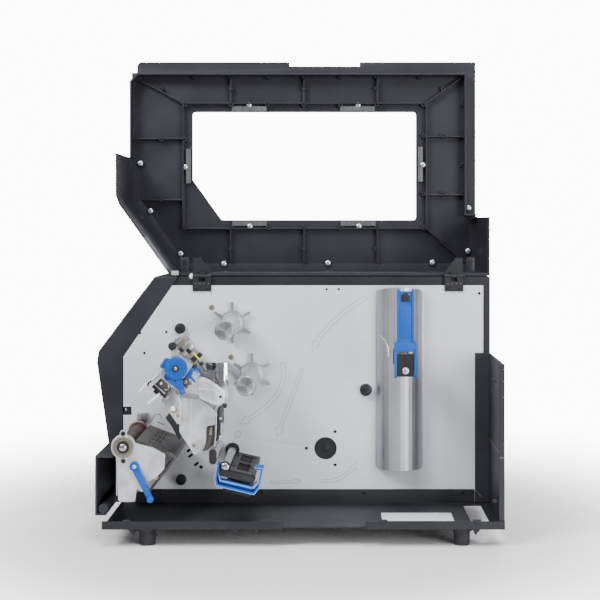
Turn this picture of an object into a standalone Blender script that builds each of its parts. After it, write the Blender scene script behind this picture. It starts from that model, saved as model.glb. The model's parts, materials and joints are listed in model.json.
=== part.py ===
"""Industrial label printer with its media cover swung open, as an assembly of separate parts.

Lengths are in millimetres here and become metres in the meshes. +X is the machine's rear, where the
rear wall is, -X the operator's front, -Y the media side, +Y the electronics side and +Z up. The origin
is on the ground under the middle of the open machine.
"""
from math import asin, atan2, cos, hypot, pi, radians, sin, tan

import bmesh
import bpy
from mathutils import Matrix, Vector

MM = 0.001
GAP = 0.3                     # clearance between neighbouring pieces

# ---- Driving dimensions ----------------------------------------------------------------------
FRONT = -257.1                # foremost point of the front bezel
REAR = 257.3                  # outer face of the rear wall
FLOOR = 22.3                  # underside of the base pan
TOP = 319.5                   # top of the body
BASE_NEAR = -148.0            # media side edge of the base pan
BODY_FAR = 123.0              # electronics side of the body
PLATE_NEAR = -2.0             # media face of the centre plate
PLATE = 3.0                   # thickness of the centre plate
SHEET = 2.0                   # folded sheet steel
SHELL = 2.5                   # moulded plastic wall
HINGE_Y, HINGE_Z = -2.0, 320.0
COVER_FAR = 148.0             # outer face of the side panel while the cover is open
COVER_TOP = 618.0             # highest edge of the open cover
RIM_TOP = 600.0               # top wall of the open cover's rim
RIM_DEPTH = 20.0              # how far that rim stands in from the side panel
WEB = 320.5                   # outer face of the cover's top wall while open
FOOT_HEIGHT = FLOOR - GAP
MECHANISM = -2.3              # where fixed media side parts stand on the centre plate

CHASSIS_NEAR = PLATE_NEAR + PLATE + GAP
CHASSIS_FAR = CHASSIS_NEAR + 2.5
PANEL_IN = COVER_FAR - 3.0    # inner face of the cover's side panel while open

PLATEN = (-202.0, 118.7)      # axes across the machine, as (x, z)
MOTOR = (-150.0, 81.0)
SPINDLE_UPPER = (-79.5, 259.8)
SPINDLE_LOWER = (-53.9, 192.6)
ROLLER_FRONT = (-94.2, 101.0)
ROLLER_REAR = (-79.5, 93.5)
RIBBON_ROLLER = (-143.0, 240.5)
HEAD_PIVOT = (-100.0, 186.0)
KNOB = (-138.3, 214.0)
LATCH = (-187.9, 96.1)
HANGER = (139.0, 218.0)
RETAINER_Y, RETAINER_Z = -130.0, 217.0

# ---- Finishes: colour, roughness, metallic ---------------------------------------------------
FINISHES = {
    "cover_plastic": ((0.045, 0.047, 0.055), 0.45, 0.0),
    "black_steel": ((0.016, 0.017, 0.020), 0.45, 0.3),
    "grey_paint": ((0.66, 0.68, 0.71), 0.5, 0.1),
    "bright_steel": ((0.75, 0.75, 0.76), 0.22, 1.0),
    "turned_aluminium": ((0.80, 0.81, 0.82), 0.3, 1.0),
    "cast_aluminium": ((0.62, 0.62, 0.61), 0.5, 0.8),
    "bronze": ((0.45, 0.30, 0.18), 0.4, 1.0),
    "blue_plastic": ((0.010, 0.16, 0.58), 0.38, 0.0),
    "black_plastic": ((0.014, 0.014, 0.016), 0.4, 0.0),
    "dark_guide": ((0.10, 0.095, 0.09), 0.5, 0.4),
    "platen_rubber": ((0.045, 0.032, 0.028), 0.7, 0.0),
    "foot_rubber": ((0.02, 0.02, 0.022), 0.8, 0.0),
    "clear_pane": ((0.92, 0.94, 0.95), 0.05, 0.0),
    "circuit_board": ((0.015, 0.16, 0.07), 0.5, 0.0),
    "display_glass": ((0.02, 0.03, 0.04), 0.1, 0.0),
}


def clear_scene():
    for item in list(bpy.data.objects):
        bpy.data.objects.remove(item, do_unlink=True)


def make_finishes():
    made = {}
    for name, (colour, roughness, metallic) in FINISHES.items():
        finish = bpy.data.materials.new(name)
        finish.use_nodes = True
        shader = finish.node_tree.nodes["Principled BSDF"]
        shader.inputs["Base Color"].default_value = (*colour, 1.0)
        shader.inputs["Roughness"].default_value = roughness
        shader.inputs["Metallic"].default_value = metallic
        if name == "clear_pane":
            shader.inputs["Transmission Weight"].default_value = 0.9
        made[name] = finish
    return made


# ---- Outlines --------------------------------------------------------------------------------
def circle(centre, radius, sides=24):
    return [(centre[0] + radius * cos(2 * pi * i / sides), centre[1] + radius * sin(2 * pi * i / sides))
            for i in range(sides)]


def rectangle(low, high):
    return [(low[0], low[1]), (high[0], low[1]), (high[0], high[1]), (low[0], high[1])]


def capsule(start, end, radius, end_radius=None, sides=7):
    """A bar with round ends, whose two radii may differ."""
    end_radius = radius if end_radius is None else end_radius
    heading = atan2(end[1] - start[1], end[0] - start[0])
    points = []
    for centre, size, first in ((end, end_radius, heading - pi / 2), (start, radius, heading + pi / 2)):
        for i in range(sides):
            angle = first + pi * i / (sides - 1)
            points.append((centre[0] + size * cos(angle), centre[1] + size * sin(angle)))
    return points


def filleted(outline, radius, steps=3, corners=None):
    """The outline with its corners rounded, or only the corners listed."""
    points = []
    count = len(outline)
    for i, corner in enumerate(outline):
        if corners is not None and i not in corners:
            points.append(corner)
            continue
        here = Vector(corner)
        before = Vector(outline[i - 1]) - here
        after = Vector(outline[(i + 1) % count]) - here
        half = before.angle(after) / 2
        reach = min(radius / tan(half), before.length * 0.48, after.length * 0.48)
        middle = (before.normalized() + after.normalized()).normalized()
        size = reach * tan(half)
        centre = here + middle * (reach / cos(half))
        first = here + before.normalized() * reach - centre
        last = here + after.normalized() * reach - centre
        turn = first.angle_signed(last)
        for step in range(steps + 1):
            angle = atan2(first.y, first.x) - turn * step / steps
            points.append((centre.x + size * cos(angle), centre.y + size * sin(angle)))
    return points


def band(path, thickness):
    """A strip of even thickness on the left of a path."""
    inner = []
    for i, point in enumerate(path):
        here = Vector(point)
        sides = []
        if i > 0:
            sides.append((here - Vector(path[i - 1])).normalized())
        if i < len(path) - 1:
            sides.append((Vector(path[i + 1]) - here).normalized())
        normals = [Vector((-side.y, side.x)) for side in sides]
        middle = sum(normals, Vector((0, 0))).normalized()
        offset = middle * (thickness / middle.dot(normals[0]))
        inner.append((here.x + offset.x, here.y + offset.y))
    return list(path) + inner[::-1]


def along(origin, heading, lengthwise, across):
    """A point given along and to the left of a heading in degrees."""
    turn = radians(heading)
    return (origin[0] + lengthwise * cos(turn) - across * sin(turn),
            origin[1] + lengthwise * sin(turn) + across * cos(turn))


def loop_round(first, first_radius, second, second_radius, sides=12):
    """The outline of a belt round two pulleys."""
    gap = hypot(second[0] - first[0], second[1] - first[1])
    heading = atan2(second[1] - first[1], second[0] - first[0])
    lean = asin((first_radius - second_radius) / gap)
    points = []
    for centre, radius, low, high in ((second, second_radius, -pi / 2 + lean, pi / 2 - lean),
                                      (first, first_radius, pi / 2 - lean, 3 * pi / 2 + lean)):
        for i in range(sides + 1):
            angle = heading + low + (high - low) * i / sides
            points.append((centre[0] + radius * cos(angle), centre[1] + radius * sin(angle)))
    return points


# ---- Solids ----------------------------------------------------------------------------------
PLACES = {
    "x": lambda a, b, depth: (depth, a, b),
    "y": lambda a, b, depth: (a, depth, b),
    "z": lambda a, b, depth: (a, b, depth),
}


def prism(outline, low, high, axis="y"):
    """An outline drawn square to an axis and extruded along it."""
    solid = bmesh.new()
    place = PLACES[axis]
    ends = []
    for depth in (low, high):
        ends.append([solid.verts.new(Vector(place(a, b, depth)) * MM) for a, b in outline])
    solid.faces.new(ends[0])
    solid.faces.new(ends[1][::-1])
    for i in range(len(outline)):
        after = (i + 1) % len(outline)
        solid.faces.new((ends[0][i], ends[1][i], ends[1][after], ends[0][after]))
    bmesh.ops.recalc_face_normals(solid, faces=solid.faces)
    return solid


def block(low, high):
    return prism(rectangle((low[0], low[2]), (high[0], high[2])), low[1], high[1])


def rod(centre, radius, low, high, axis="y", sides=24):
    return prism(circle(centre, radius, sides), low, high, axis)


def turned(centre, profile, axis="y", sides=32):
    """A round solid on an axis; the profile gives its radius at places along the axis."""
    solid = bmesh.new()
    place = PLACES[axis]
    rings = []
    for depth, radius in profile:
        ring = [solid.verts.new(Vector(place(a, b, depth)) * MM) for a, b in circle(centre, radius, sides)]
        rings.append(ring)
    for ring, following in zip(rings, rings[1:]):
        for i in range(sides):
            after = (i + 1) % sides
            solid.faces.new((ring[i], following[i], following[after], ring[after]))
    solid.faces.new(rings[0])
    solid.faces.new(rings[-1][::-1])
    bmesh.ops.recalc_face_normals(solid, faces=solid.faces)
    return solid


def held(solid, name):
    """A helper object for a solid that a Boolean reads."""
    mesh = bpy.data.meshes.new(name)
    solid.to_mesh(mesh)
    solid.free()
    helper = bpy.data.objects.new(name, mesh)
    bpy.context.scene.collection.objects.link(helper)
    helper.hide_render = True
    helper.display_type = "WIRE"
    return helper


class Assembly:
    """Makes the named pieces and hangs the moving ones on empties that sit on their axes."""

    def __init__(self):
        self.finishes = make_finishes()
        self.pivots = {}

    def pivot(self, name, place):
        empty = bpy.data.objects.new("pivot_" + name, None)
        empty.location = Vector(place) * MM
        bpy.context.scene.collection.objects.link(empty)
        self.pivots[name] = empty

    def piece(self, name, finish, solids, cuts=(), pivot=None):
        """Joins the solids, takes the cuts away and names the result."""
        base = held(solids[0], name + "_base")
        helpers = [base]
        for kind, shapes in (("UNION", solids[1:]), ("DIFFERENCE", cuts)):
            for number, shape in enumerate(shapes):
                helper = held(shape, f"{name}_{kind.lower()}_{number}")
                helpers.append(helper)
                modifier = base.modifiers.new(kind, "BOOLEAN")
                modifier.operation = kind
                modifier.solver = "EXACT"
                modifier.object = helper
        depsgraph = bpy.context.evaluated_depsgraph_get()
        mesh = bpy.data.meshes.new_from_object(base.evaluated_get(depsgraph))
        for helper in helpers:
            bpy.data.objects.remove(helper, do_unlink=True)
        mesh.name = name
        mesh.materials.clear()
        mesh.materials.append(self.finishes[finish])
        made = bpy.data.objects.new(name, mesh)
        bpy.context.scene.collection.objects.link(made)
        if pivot:
            empty = self.pivots[pivot]
            mesh.transform(Matrix.Translation(-empty.location))
            made.parent = empty
        mesh.shade_smooth()
        mesh.set_sharp_from_angle(angle=radians(30))
        return made


# ---- Body ------------------------------------------------------------------------------------
CHASSIS_OUTLINE = [(-222.3, FLOOR + SHEET + GAP), (REAR, FLOOR + SHEET + GAP), (REAR, TOP),
                   (-150.4, TOP), (-222.3, 215.0)]
PLATE_HOLES = (               # x, z, radius of the small round holes in the centre plate
    (-106.9, 279.4, 2.8), (-81.5, 214.3, 2.8), (-200.6, 245.8, 1.8), (-195.0, 219.7, 1.8),
    (-166.2, 247.1, 1.8), (243.0, 297.5, 2.0), (43.4, 303.0, 1.6), (59.3, 303.0, 1.6),
    (-121.0, 70.3, 2.6),
)
PLATE_SLOTS = (((-138.4, 90.8), (-135.6, 93.4)), ((-136.6, 83.9), (-132.8, 86.8)),
               ((-129.0, 72.8), (-125.2, 76.0)))
FAN_HOLE = (41.9, 95.0)
SWITCH = (65.0, 62.0)         # centre of the power switch on the rear wall, as (y, z)
INLET = (98.0, 62.0)


def shaft_holes():
    """Cuts for the shafts that pass through both plates."""
    shafts = ((PLATEN, 10.0), (SPINDLE_UPPER, 7.0), (SPINDLE_LOWER, 7.0))
    return [rod(centre, radius, PLATE_NEAR - 5, CHASSIS_FAR + 5) for centre, radius in shafts]


def center_plate(assembly):
    outline = [(-222.3, FLOOR + SHEET + GAP), (248.0, FLOOR + SHEET + GAP), (248.0, 308.0),
               (-158.3, 308.0), (-222.3, 215.0)]
    low, high = PLATE_NEAR - 5, PLATE_NEAR + PLATE + 5
    cuts = shaft_holes()
    cuts += [rod((x, z), radius, low, high, sides=12) for x, z, radius in PLATE_HOLES]
    cuts += [prism(capsule(start, end, 1.7, sides=4), low, high) for start, end in PLATE_SLOTS]
    cuts.append(rod(FAN_HOLE, 14.8, low, high, sides=32))
    for heading in (180, 60, -60):
        cuts.append(rod(along(FAN_HOLE, heading, 25.0, 0.0), 2.2, low, high, sides=12))
    cuts.append(rod(HEAD_PIVOT, 4.6, low, high))
    cuts.append(prism(filleted(rectangle((-230.0, 138.6), (-211.6, 149.6)), 1.5, 2), low, high))
    assembly.piece("center_plate", "grey_paint", [prism(outline, PLATE_NEAR, PLATE_NEAR + PLATE)], cuts)


def chassis_plate(assembly):
    assembly.piece("chassis_plate", "black_steel", [prism(CHASSIS_OUTLINE, CHASSIS_NEAR, CHASSIS_FAR)],
                   shaft_holes())


def base_pan(assembly):
    left, floor_top = -225.6, FLOOR + SHEET
    solids = [
        block((left, BASE_NEAR, FLOOR), (REAR, BODY_FAR, floor_top)),
        block((left, BASE_NEAR, FLOOR), (REAR, BASE_NEAR + 2.5, 32.0)),
        block((-205.0, -5.0, FLOOR + 0.5), (236.0, MECHANISM, 42.0)),
    ]
    cuts = [
        block((-7.8, BASE_NEAR - 1, FLOOR - 1), (90.7, BASE_NEAR + 7, 33.0)),
        block((220.0, -128.0, FLOOR - 1), (243.0, -15.0, floor_top + 1)),
    ]
    assembly.piece("base_pan", "black_steel", solids, cuts)


def rear_lower_wall(assembly):
    path = [(237.0, MECHANISM), (REAR, MECHANISM), (REAR, BASE_NEAR + 2.8), (250.7, BASE_NEAR + 2.8)]
    wall = prism(band(path[::-1], SHEET), FLOOR + SHEET + GAP, 220.0, "z")
    assembly.piece("rear_lower_wall", "cover_plastic", [wall])


BEZEL_EDGE = [(-181.8, TOP), (-255.2, 222.0), (FRONT, 207.0), (-242.5, 106.0),
              (-238.0, FLOOR + SHEET + GAP)]


def sloping_face(lengthwise, height):
    """A point on the bezel's sloping front, measured down the slope and out from it."""
    top, foot = Vector(BEZEL_EDGE[0]), Vector(BEZEL_EDGE[1])
    down = (foot - top).normalized()
    out = Vector((down.y, -down.x))
    spot = top + down * lengthwise + out * height
    return (spot.x, spot.y)


def sloping_block(start, end, low, high, near, far):
    corners = ((start, low), (end, low), (end, high), (start, high))
    return prism([sloping_face(*corner) for corner in corners], near, far)


BUTTON_SPOTS = {"feed_button": (92.0, 44.0), "cancel_button": (92.0, 74.0)}


def front_bezel(assembly):
    seam = [(-222.6, FLOOR + SHEET + GAP), (-222.6, 215.1), (-150.8, TOP)]
    inside = [(-180.6, TOP - SHELL), (-252.2, 221.0), (FRONT + SHELL, 207.0), (-240.0, 106.5),
              (-235.5, 30.0), (-200.0, 30.0), (-200.0, 215.0), (-130.0, TOP - SHELL)]
    cuts = [prism(inside, PLATE_NEAR + 3.0, BODY_FAR - SHELL)]
    for slope, middle in BUTTON_SPOTS.values():
        cuts.append(sloping_block(slope - 5.5, slope + 5.5, -8.0, 8.0, middle - 9.5, middle + 9.5))
    outline = BEZEL_EDGE + seam
    assembly.piece("front_bezel", "cover_plastic", [prism(outline, PLATE_NEAR, BODY_FAR)], cuts)
    assembly.piece("display_panel", "display_glass", [sloping_block(22.0, 76.0, GAP, 2.2, 22.0, 98.0)])
    for name, (slope, middle) in BUTTON_SPOTS.items():
        x, z = sloping_face(slope, 0.0)
        assembly.pivot(name, (x, middle, z))
        button = sloping_block(slope - 5.0, slope + 5.0, -3.5, 2.2, middle - 9.0, middle + 9.0)
        assembly.piece(name, "blue_plastic", [button], pivot=name)


def electronics_cover(assembly):
    inside = [(-300.0, FLOOR + 2 * SHEET), (REAR - SHEET, FLOOR + 2 * SHEET), (REAR - SHEET, TOP - SHEET),
              (-300.0, TOP - SHEET)]
    near = CHASSIS_FAR + GAP
    cuts = [prism(inside, near - 5, BODY_FAR - SHEET)]
    for (y, z), width, height in ((SWITCH, 10.0, 11.0), (INLET, 14.6, 12.6)):
        cuts.append(block((REAR - 8, y - width, z - height), (REAR + 5, y + width, z + height)))
    assembly.piece("electronics_cover", "cover_plastic", [prism(CHASSIS_OUTLINE, near, BODY_FAR)], cuts)


def feet(assembly):
    for depth, y in (("near", -127.0), ("far", 98.0)):
        for end, x in (("front", -173.7), ("rear", 207.5)):
            profile = [(0.0, 8.8), (1.5, 9.6), (16.5, 10.2), (18.0, 13.5), (FOOT_HEIGHT, 14.0)]
            assembly.piece(f"foot_{depth}_{end}", "foot_rubber", [turned((x, y), profile, "z", 28)])


def front_lower_cover(assembly):
    path = [(-215.0, 107.0), (-237.0, 107.0), (-237.0, 35.0), (-224.0, 35.0)]
    shell = prism(band(path, 2.2), -128.0, MECHANISM)
    boss = rod((-227.5, 42.5), 6.0, -126.0, MECHANISM, sides=16)
    assembly.piece("front_lower_cover", "cover_plastic", [shell, boss])


def latch_socket(assembly):
    body = block((-222.0, -0.8, 139.2), (-212.0, PLATE_NEAR + PLATE, 149.0))
    assembly.piece("latch_socket", "black_plastic", [body], [rod((-219.0, 145.5), 2.0, -5.0, 0.4, sides=12)])


# ---- Hinges ----------------------------------------------------------------------------------
GUSSET_TOP = 344.0
HINGES = {"front": (-131.7, -107.3), "rear": (197.4, 221.8)}


def hinges(assembly):
    for end, (low, high) in HINGES.items():
        third = (high - low) / 3
        leaf = block((low, -4.3, 300.5), (high, MECHANISM, 313.5))
        solids = [leaf]
        for start in (low, high - third + GAP):
            finish = start + third - GAP
            solids.append(rod((HINGE_Y, HINGE_Z), 3.0, start, finish, "x", 16))
            solids.append(block((start, -4.3, 312.0), (finish, MECHANISM, 319.5)))
        solids.append(rod((HINGE_Y, HINGE_Z), 1.5, low + 1, high - 1, "x", 12))
        assembly.piece(f"hinge_leaf_{end}", "black_steel", solids)
        start, finish = low + third, high - third
        barrel = rod((HINGE_Y, HINGE_Z), 3.0, start, finish, "x", 16)
        neck = block((start, 0.0, 320.8), (finish, 3.2, 325.3))
        strap = block((start, 0.0, 323.3), (finish, 26.0, 325.3))
        gusset = [(low, 323.3), (high, 323.3), (high - 15.0, GUSSET_TOP), (low, GUSSET_TOP)]
        if end == "rear":
            gusset = [(low + high - x, z) for x, z in gusset]
        solids = [barrel, neck, strap, prism(gusset, 3.6, 5.6)]
        bore = rod((HINGE_Y, HINGE_Z), 1.8, start - 1, finish + 1, "x", 12)
        assembly.piece(f"cover_hinge_strap_{end}", "black_steel", solids, [bore], "cover")


# ---- Cover -----------------------------------------------------------------------------------
COVER_PATH = [(-233.5, 481.0), (-233.5, 426.0), (-229.0, 414.0), (-162.0, WEB), (REAR, WEB),
              (REAR, 397.5)]
WINDOW = [(-106.0, 394.0), (169.6, 394.0), (169.6, 547.0), (-147.0, 547.0), (-147.0, 451.0)]
RIB_FRAME = ((-160.0, 382.0), (184.0, 559.0))
RIB_LOW = PANEL_IN - 8.0


def cover_top_frame(assembly):
    near = 3.5
    far = PANEL_IN - GAP
    lip_path = [(-160.5, WEB), (REAR - SHELL, WEB)]
    solids = [
        prism(band(COVER_PATH, SHELL), near, far),
        prism(band(COVER_PATH, 12.0), far - SHELL, far),
        prism(band(lip_path, 4.0), near, near + 2.0),
    ]
    cuts = [block((low, near - 1, WEB + SHELL + 0.3), (high, near + 3, 330.0)) for low, high in HINGES.values()]
    assembly.piece("cover_top_frame", "cover_plastic", solids, cuts, "cover")


def rib(start, end, low=RIB_LOW, width=2.0):
    heading = atan2(end[1] - start[1], end[0] - start[0])
    side = Vector((-sin(heading), cos(heading))) * width / 2
    first, last = Vector(start), Vector(end)
    outline = [first - side, last - side, last + side, first + side]
    return prism([tuple(corner) for corner in outline], low, PANEL_IN + 1.0)


def cover_side_panel(assembly):
    edge = [(-162.0, WEB), (REAR, WEB), (REAR, 399.0), (254.0, 399.0), (254.0, COVER_TOP),
            (-226.0, COVER_TOP), (-226.0, 603.0), (-233.5, 603.0), (-233.5, 426.0), (-229.0, 414.0)]
    panel = prism(filleted(edge, 13.0, 5, corners=(5,)), PANEL_IN, COVER_FAR)
    rim_path = [(254.0, 402.5), (239.0, 402.5), (239.0, RIM_TOP), (-222.5, RIM_TOP), (-233.5, 589.0),
                (-233.5, 481.4)]
    solids = [panel, prism(band(rim_path, SHELL), PANEL_IN - RIM_DEPTH, PANEL_IN + 1)]
    (left, low), (right, high) = RIB_FRAME
    solids.append(rib((left, high), (right + 1, high)))
    solids.append(rib((right, high + 1), (right, low)))
    solids.append(rib((right + 1, low), (left, low)))
    solids.append(rib((left, low - 1), (left, high + 1)))
    flange = WEB + 12.3
    for x in (-92.8, 10.8, 114.5):
        solids.append(rib((x, high), (x, RIM_TOP - 1)))
        solids.append(rib((x, low), (x, flange + 0.5)))
    for z, reach in ((422.5, -217.5), (509.0, -231.5)):
        solids.append(rib((left, z), (reach, z)))
    for z in (429.6, 512.0):
        solids.append(rib((right, z), (238.0, z)))
    solids.append(rib((left, high), (-222.0, 592.0)))
    solids.append(rib((right, high), (237.0, 598.0)))
    solids.append(rib((right, low), (236.0, 335.0)))
    cuts = [
        prism(filleted(WINDOW, 4.0, 3), PANEL_IN - 30, COVER_FAR + 5),
        block((-9.7, PANEL_IN - 1, COVER_TOP - 6), (89.8, COVER_FAR + 1, COVER_TOP + 2)),
    ]
    assembly.piece("cover_side_panel", "cover_plastic", solids, cuts, "cover")


def cover_window(assembly):
    reach = 6.0
    pane = [(-107.0 - reach, 394 - reach), (169.6 + reach, 394 - reach), (169.6 + reach, 547 + reach),
            (-147 - reach, 547 + reach), (-147 - reach, 449.5)]
    far = PANEL_IN - GAP
    assembly.piece("cover_window", "clear_pane", [prism(filleted(pane, 5.0, 3), far - 2.0, far)], pivot="cover")
    long, wide = 49.0, 7.0
    spots = (((-66.6, 551.5), "x"), ((86.5, 551.5), "x"), ((-66.0, 389.5), "x"), ((87.5, 389.5), "x"),
             ((-152.5, 470.5), "z"), ((175.6, 473.0), "z"))
    for number, (centre, run) in enumerate(spots, 1):
        half = (long / 2, wide / 2) if run == "x" else (wide / 2, long / 2)
        low = (centre[0] - half[0], centre[1] - half[1])
        high = (centre[0] + half[0], centre[1] + half[1])
        clip = prism(rectangle(low, high), far - 4.6, far - 2.0 - GAP)
        assembly.piece(f"window_clip_{number}", "bright_steel", [clip], pivot="cover")


# ---- Label path ------------------------------------------------------------------------------
def platen(assembly):
    assembly.pivot("platen", (PLATEN[0], 0.0, PLATEN[1]))
    roller = turned(PLATEN, [(-137.0, 4.0), (-124.0, 4.0), (-124.0, 9.6), (-5.0, 9.6), (-5.0, 4.0), (15.0, 4.0)])
    assembly.piece("platen_roller", "platen_rubber", [roller], pivot="platen")
    pulley = turned(PLATEN, [(5.0, 14.0), (6.0, 14.0), (6.0, 12.0), (14.0, 12.0), (14.0, 14.0), (15.0, 14.0)])
    bore = rod(PLATEN, 4.3, 0.0, 20.0)
    assembly.piece("platen_pulley", "black_plastic", [pulley], [bore], "platen")
    near_ring = turned(PLATEN, [(-135.0, 11.6), (-133.3, 11.6), (-133.3, 7.6), (-127.0, 7.6)])
    assembly.piece("platen_bearing_near", "bronze", [near_ring], [rod(PLATEN, 4.3, -140.0, -120.0)])
    far_ring = turned(PLATEN, [(-4.4, 12.5), (-2.3, 12.5), (-2.3, 9.7), (3.6, 9.7)])
    assembly.piece("platen_bearing_far", "bronze", [far_ring], [rod(PLATEN, 4.3, -10.0, 10.0)])


def platen_side_plate(assembly):
    outline = [(-208.0, 52.5), (-188.0, 52.5), (-186.0, 67.0), (-173.0, 76.0), (-164.0, 81.0),
               (-152.6, 92.0), (-151.4, 110.0), (-167.0, 117.6), (-184.0, 122.0), (-200.0, 128.0),
               (-212.0, 120.0), (-211.0, 106.0)]
    near, far = -133.0, -127.0
    solids = [
        prism(filleted(outline, 3.0, 2), near, far),
        rod(PLATEN, 15.0, near, far, sides=32),
        block((-206.0, far - 1, 56.0), (-190.0, MECHANISM, 66.0)),
        rod(LATCH, 2.6, -140.5, near + 1, sides=16),
    ]
    cuts = [rod(PLATEN, 7.9, near - 5, far + 5)]
    assembly.piece("platen_side_plate", "cast_aluminium", solids, cuts)


def platen_latch(assembly):
    tip = (-168.7, 56.5)
    assembly.pivot("platen_latch", (LATCH[0], 0.0, LATCH[1]))
    solids = [
        prism(capsule(LATCH, tip, 4.6, 3.1), -138.5, -134.5),
        rod(LATCH, 5.8, -139.5, -133.4, sides=20),
        rod(tip, 3.9, -141.5, -134.0, sides=16),
    ]
    assembly.piece("platen_latch_lever", "blue_plastic", solids, [rod(LATCH, 2.9, -145.0, -130.0, sides=16)],
                   "platen_latch")


def media_ramp(assembly):
    path = [(-188.0, 126.0), (-141.3, 108.5), (-139.0, 103.0), (-171.0, 62.0)]
    body = prism(band(path[::-1], 3.0), -124.5, MECHANISM)
    cuts = []
    across = Vector((46.7, -17.5)).normalized()
    for row, reach in enumerate((16.0, 21.0, 26.0)):
        spot = Vector(path[0]) + across * reach
        for number in range(12):
            near = -118.0 + 9.0 * number + 2.0 * (row % 2)
            slot = [spot - across * 1.2 + Vector((0, 9)), spot + across * 1.2 + Vector((0, 9)),
                    spot + across * 1.2 - Vector((0, 9)), spot - across * 1.2 - Vector((0, 9))]
            if number % 3 != 2:
                cuts.append(prism([tuple(corner) for corner in slot], near, near + 6.0))
    assembly.piece("media_ramp", "dark_guide", [body], cuts)


def guide_rollers(assembly):
    assembly.pivot("guide_roller_front", (ROLLER_FRONT[0], 0.0, ROLLER_FRONT[1]))
    front = turned(ROLLER_FRONT, [(-130.0, 3.6), (-129.0, 4.2), (-4.0, 4.2)], sides=20)
    assembly.piece("guide_roller_front", "bright_steel", [front], pivot="guide_roller_front")
    assembly.pivot("guide_roller_rear", (ROLLER_REAR[0], 0.0, ROLLER_REAR[1]))
    rear = turned(ROLLER_REAR, [(-128.5, 4.8), (-127.5, 5.5), (-4.0, 5.5)], sides=24)
    assembly.piece("guide_roller_rear", "bright_steel", [rear], pivot="guide_roller_rear")


def sensor_bridge(assembly):
    outline = [(-86.6, 91.0), (-73.3, 91.0), (-43.0, 84.0), (-43.6, 78.0), (-47.3, 74.6), (-86.2, 84.0)]
    body = prism(filleted(outline, 1.5, 2), -131.0, MECHANISM)
    cuts = [rod(ROLLER_REAR, 6.2, -140.0, 5.0)]
    cuts.append(prism([(-66.0, 84.0), (-52.0, 80.6), (-51.0, 95.0), (-66.0, 95.0)], -118.0, -72.0))
    cuts.append(prism([(-66.0, 84.0), (-52.0, 80.6), (-51.0, 95.0), (-66.0, 95.0)], -60.0, -16.0))
    assembly.piece("sensor_bridge", "black_plastic", [body], cuts)


def media_guide_slider(assembly):
    assembly.pivot("media_guide", (-62.0, -124.0, 78.0))
    path = [(-88.6, 97.8), (-91.8, 81.2), (-90.0, 72.0), (-43.7, 61.2), (-37.2, 69.9), (-35.6, 79.5),
            (-32.4, 93.5), (-43.7, 94.5)]
    slider = prism(band(path, 2.6), -136.0, -112.0)
    assembly.piece("media_guide_slider", "blue_plastic", [slider], pivot="media_guide")


# ---- Print head ------------------------------------------------------------------------------
HEAD_HEADING = 47.6           # lean of the head bracket, degrees
HEAD_CORNER = (-149.8, 183.4)


def head_outline(start, end, low, high):
    corners = ((start, low), (end, low), (end, high), (start, high))
    return [along(HEAD_CORNER, HEAD_HEADING, *corner) for corner in corners]


def print_head(assembly):
    assembly.pivot("print_head", (HEAD_PIVOT[0], 0.0, HEAD_PIVOT[1]))
    arm = [(-136.0, 203.0), (-121.0, 214.0), (-109.0, 203.5), (-93.0, 193.0), (-93.0, 180.0), (-118.0, 182.5),
           (-144.0, 189.0)]
    solids = [prism(head_outline(0.0, 47.0, 20.0, 23.0), -131.0, -9.0)]
    for near, far in ((-131.0, -128.0), (-12.0, -9.0)):
        solids.append(prism(head_outline(0.0, 47.0, 0.0, 23.0), near, far))
        solids.append(prism(filleted(arm, 4.0, 2), near, far))
        solids.append(prism(capsule((-139.0, 227.0), RIBBON_ROLLER, 4.5), near, far))
    solids.append(rod(HEAD_PIVOT, 4.0, -134.0, 0.5))
    cuts = [rod(RIBBON_ROLLER, 1.9, -140.0, 0.0, sides=12), rod(KNOB, 3.1, -140.0, -125.0, sides=16)]
    assembly.piece("head_bracket", "cast_aluminium", solids, cuts, "print_head")
    head = [
        prism(head_outline(-9.0, -GAP, 2.0, 19.0), -118.0, -20.0),
        prism(head_outline(-12.0, -8.0, 6.0, 14.0), -118.0, -20.0),
    ]
    assembly.piece("printhead", "black_plastic", head, pivot="print_head")
    assembly.pivot("ribbon_roller", (RIBBON_ROLLER[0], 0.0, RIBBON_ROLLER[1]))
    profile = [(-133.5, 1.5), (-127.5, 1.5), (-127.5, 4.0), (-12.5, 4.0), (-12.5, 1.5), (-8.0, 1.5)]
    assembly.piece("ribbon_roller", "bright_steel", [turned(RIBBON_ROLLER, profile, sides=20)],
                   pivot="ribbon_roller")
    assembly.pivot("pressure_knob", (KNOB[0], 0.0, KNOB[1]))
    knob = [
        turned(KNOB, [(-138.0, 12.4), (-136.8, 13.6), (-132.0, 13.6), (-131.4, 13.0)]),
        rod(KNOB, 2.8, -132.0, -126.0, sides=16),
        prism(capsule(KNOB, (-130.8, 185.7), 5.0, 3.2), -136.0, -132.0),
    ]
    assembly.piece("pressure_knob", "blue_plastic", knob, pivot="pressure_knob")


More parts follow.
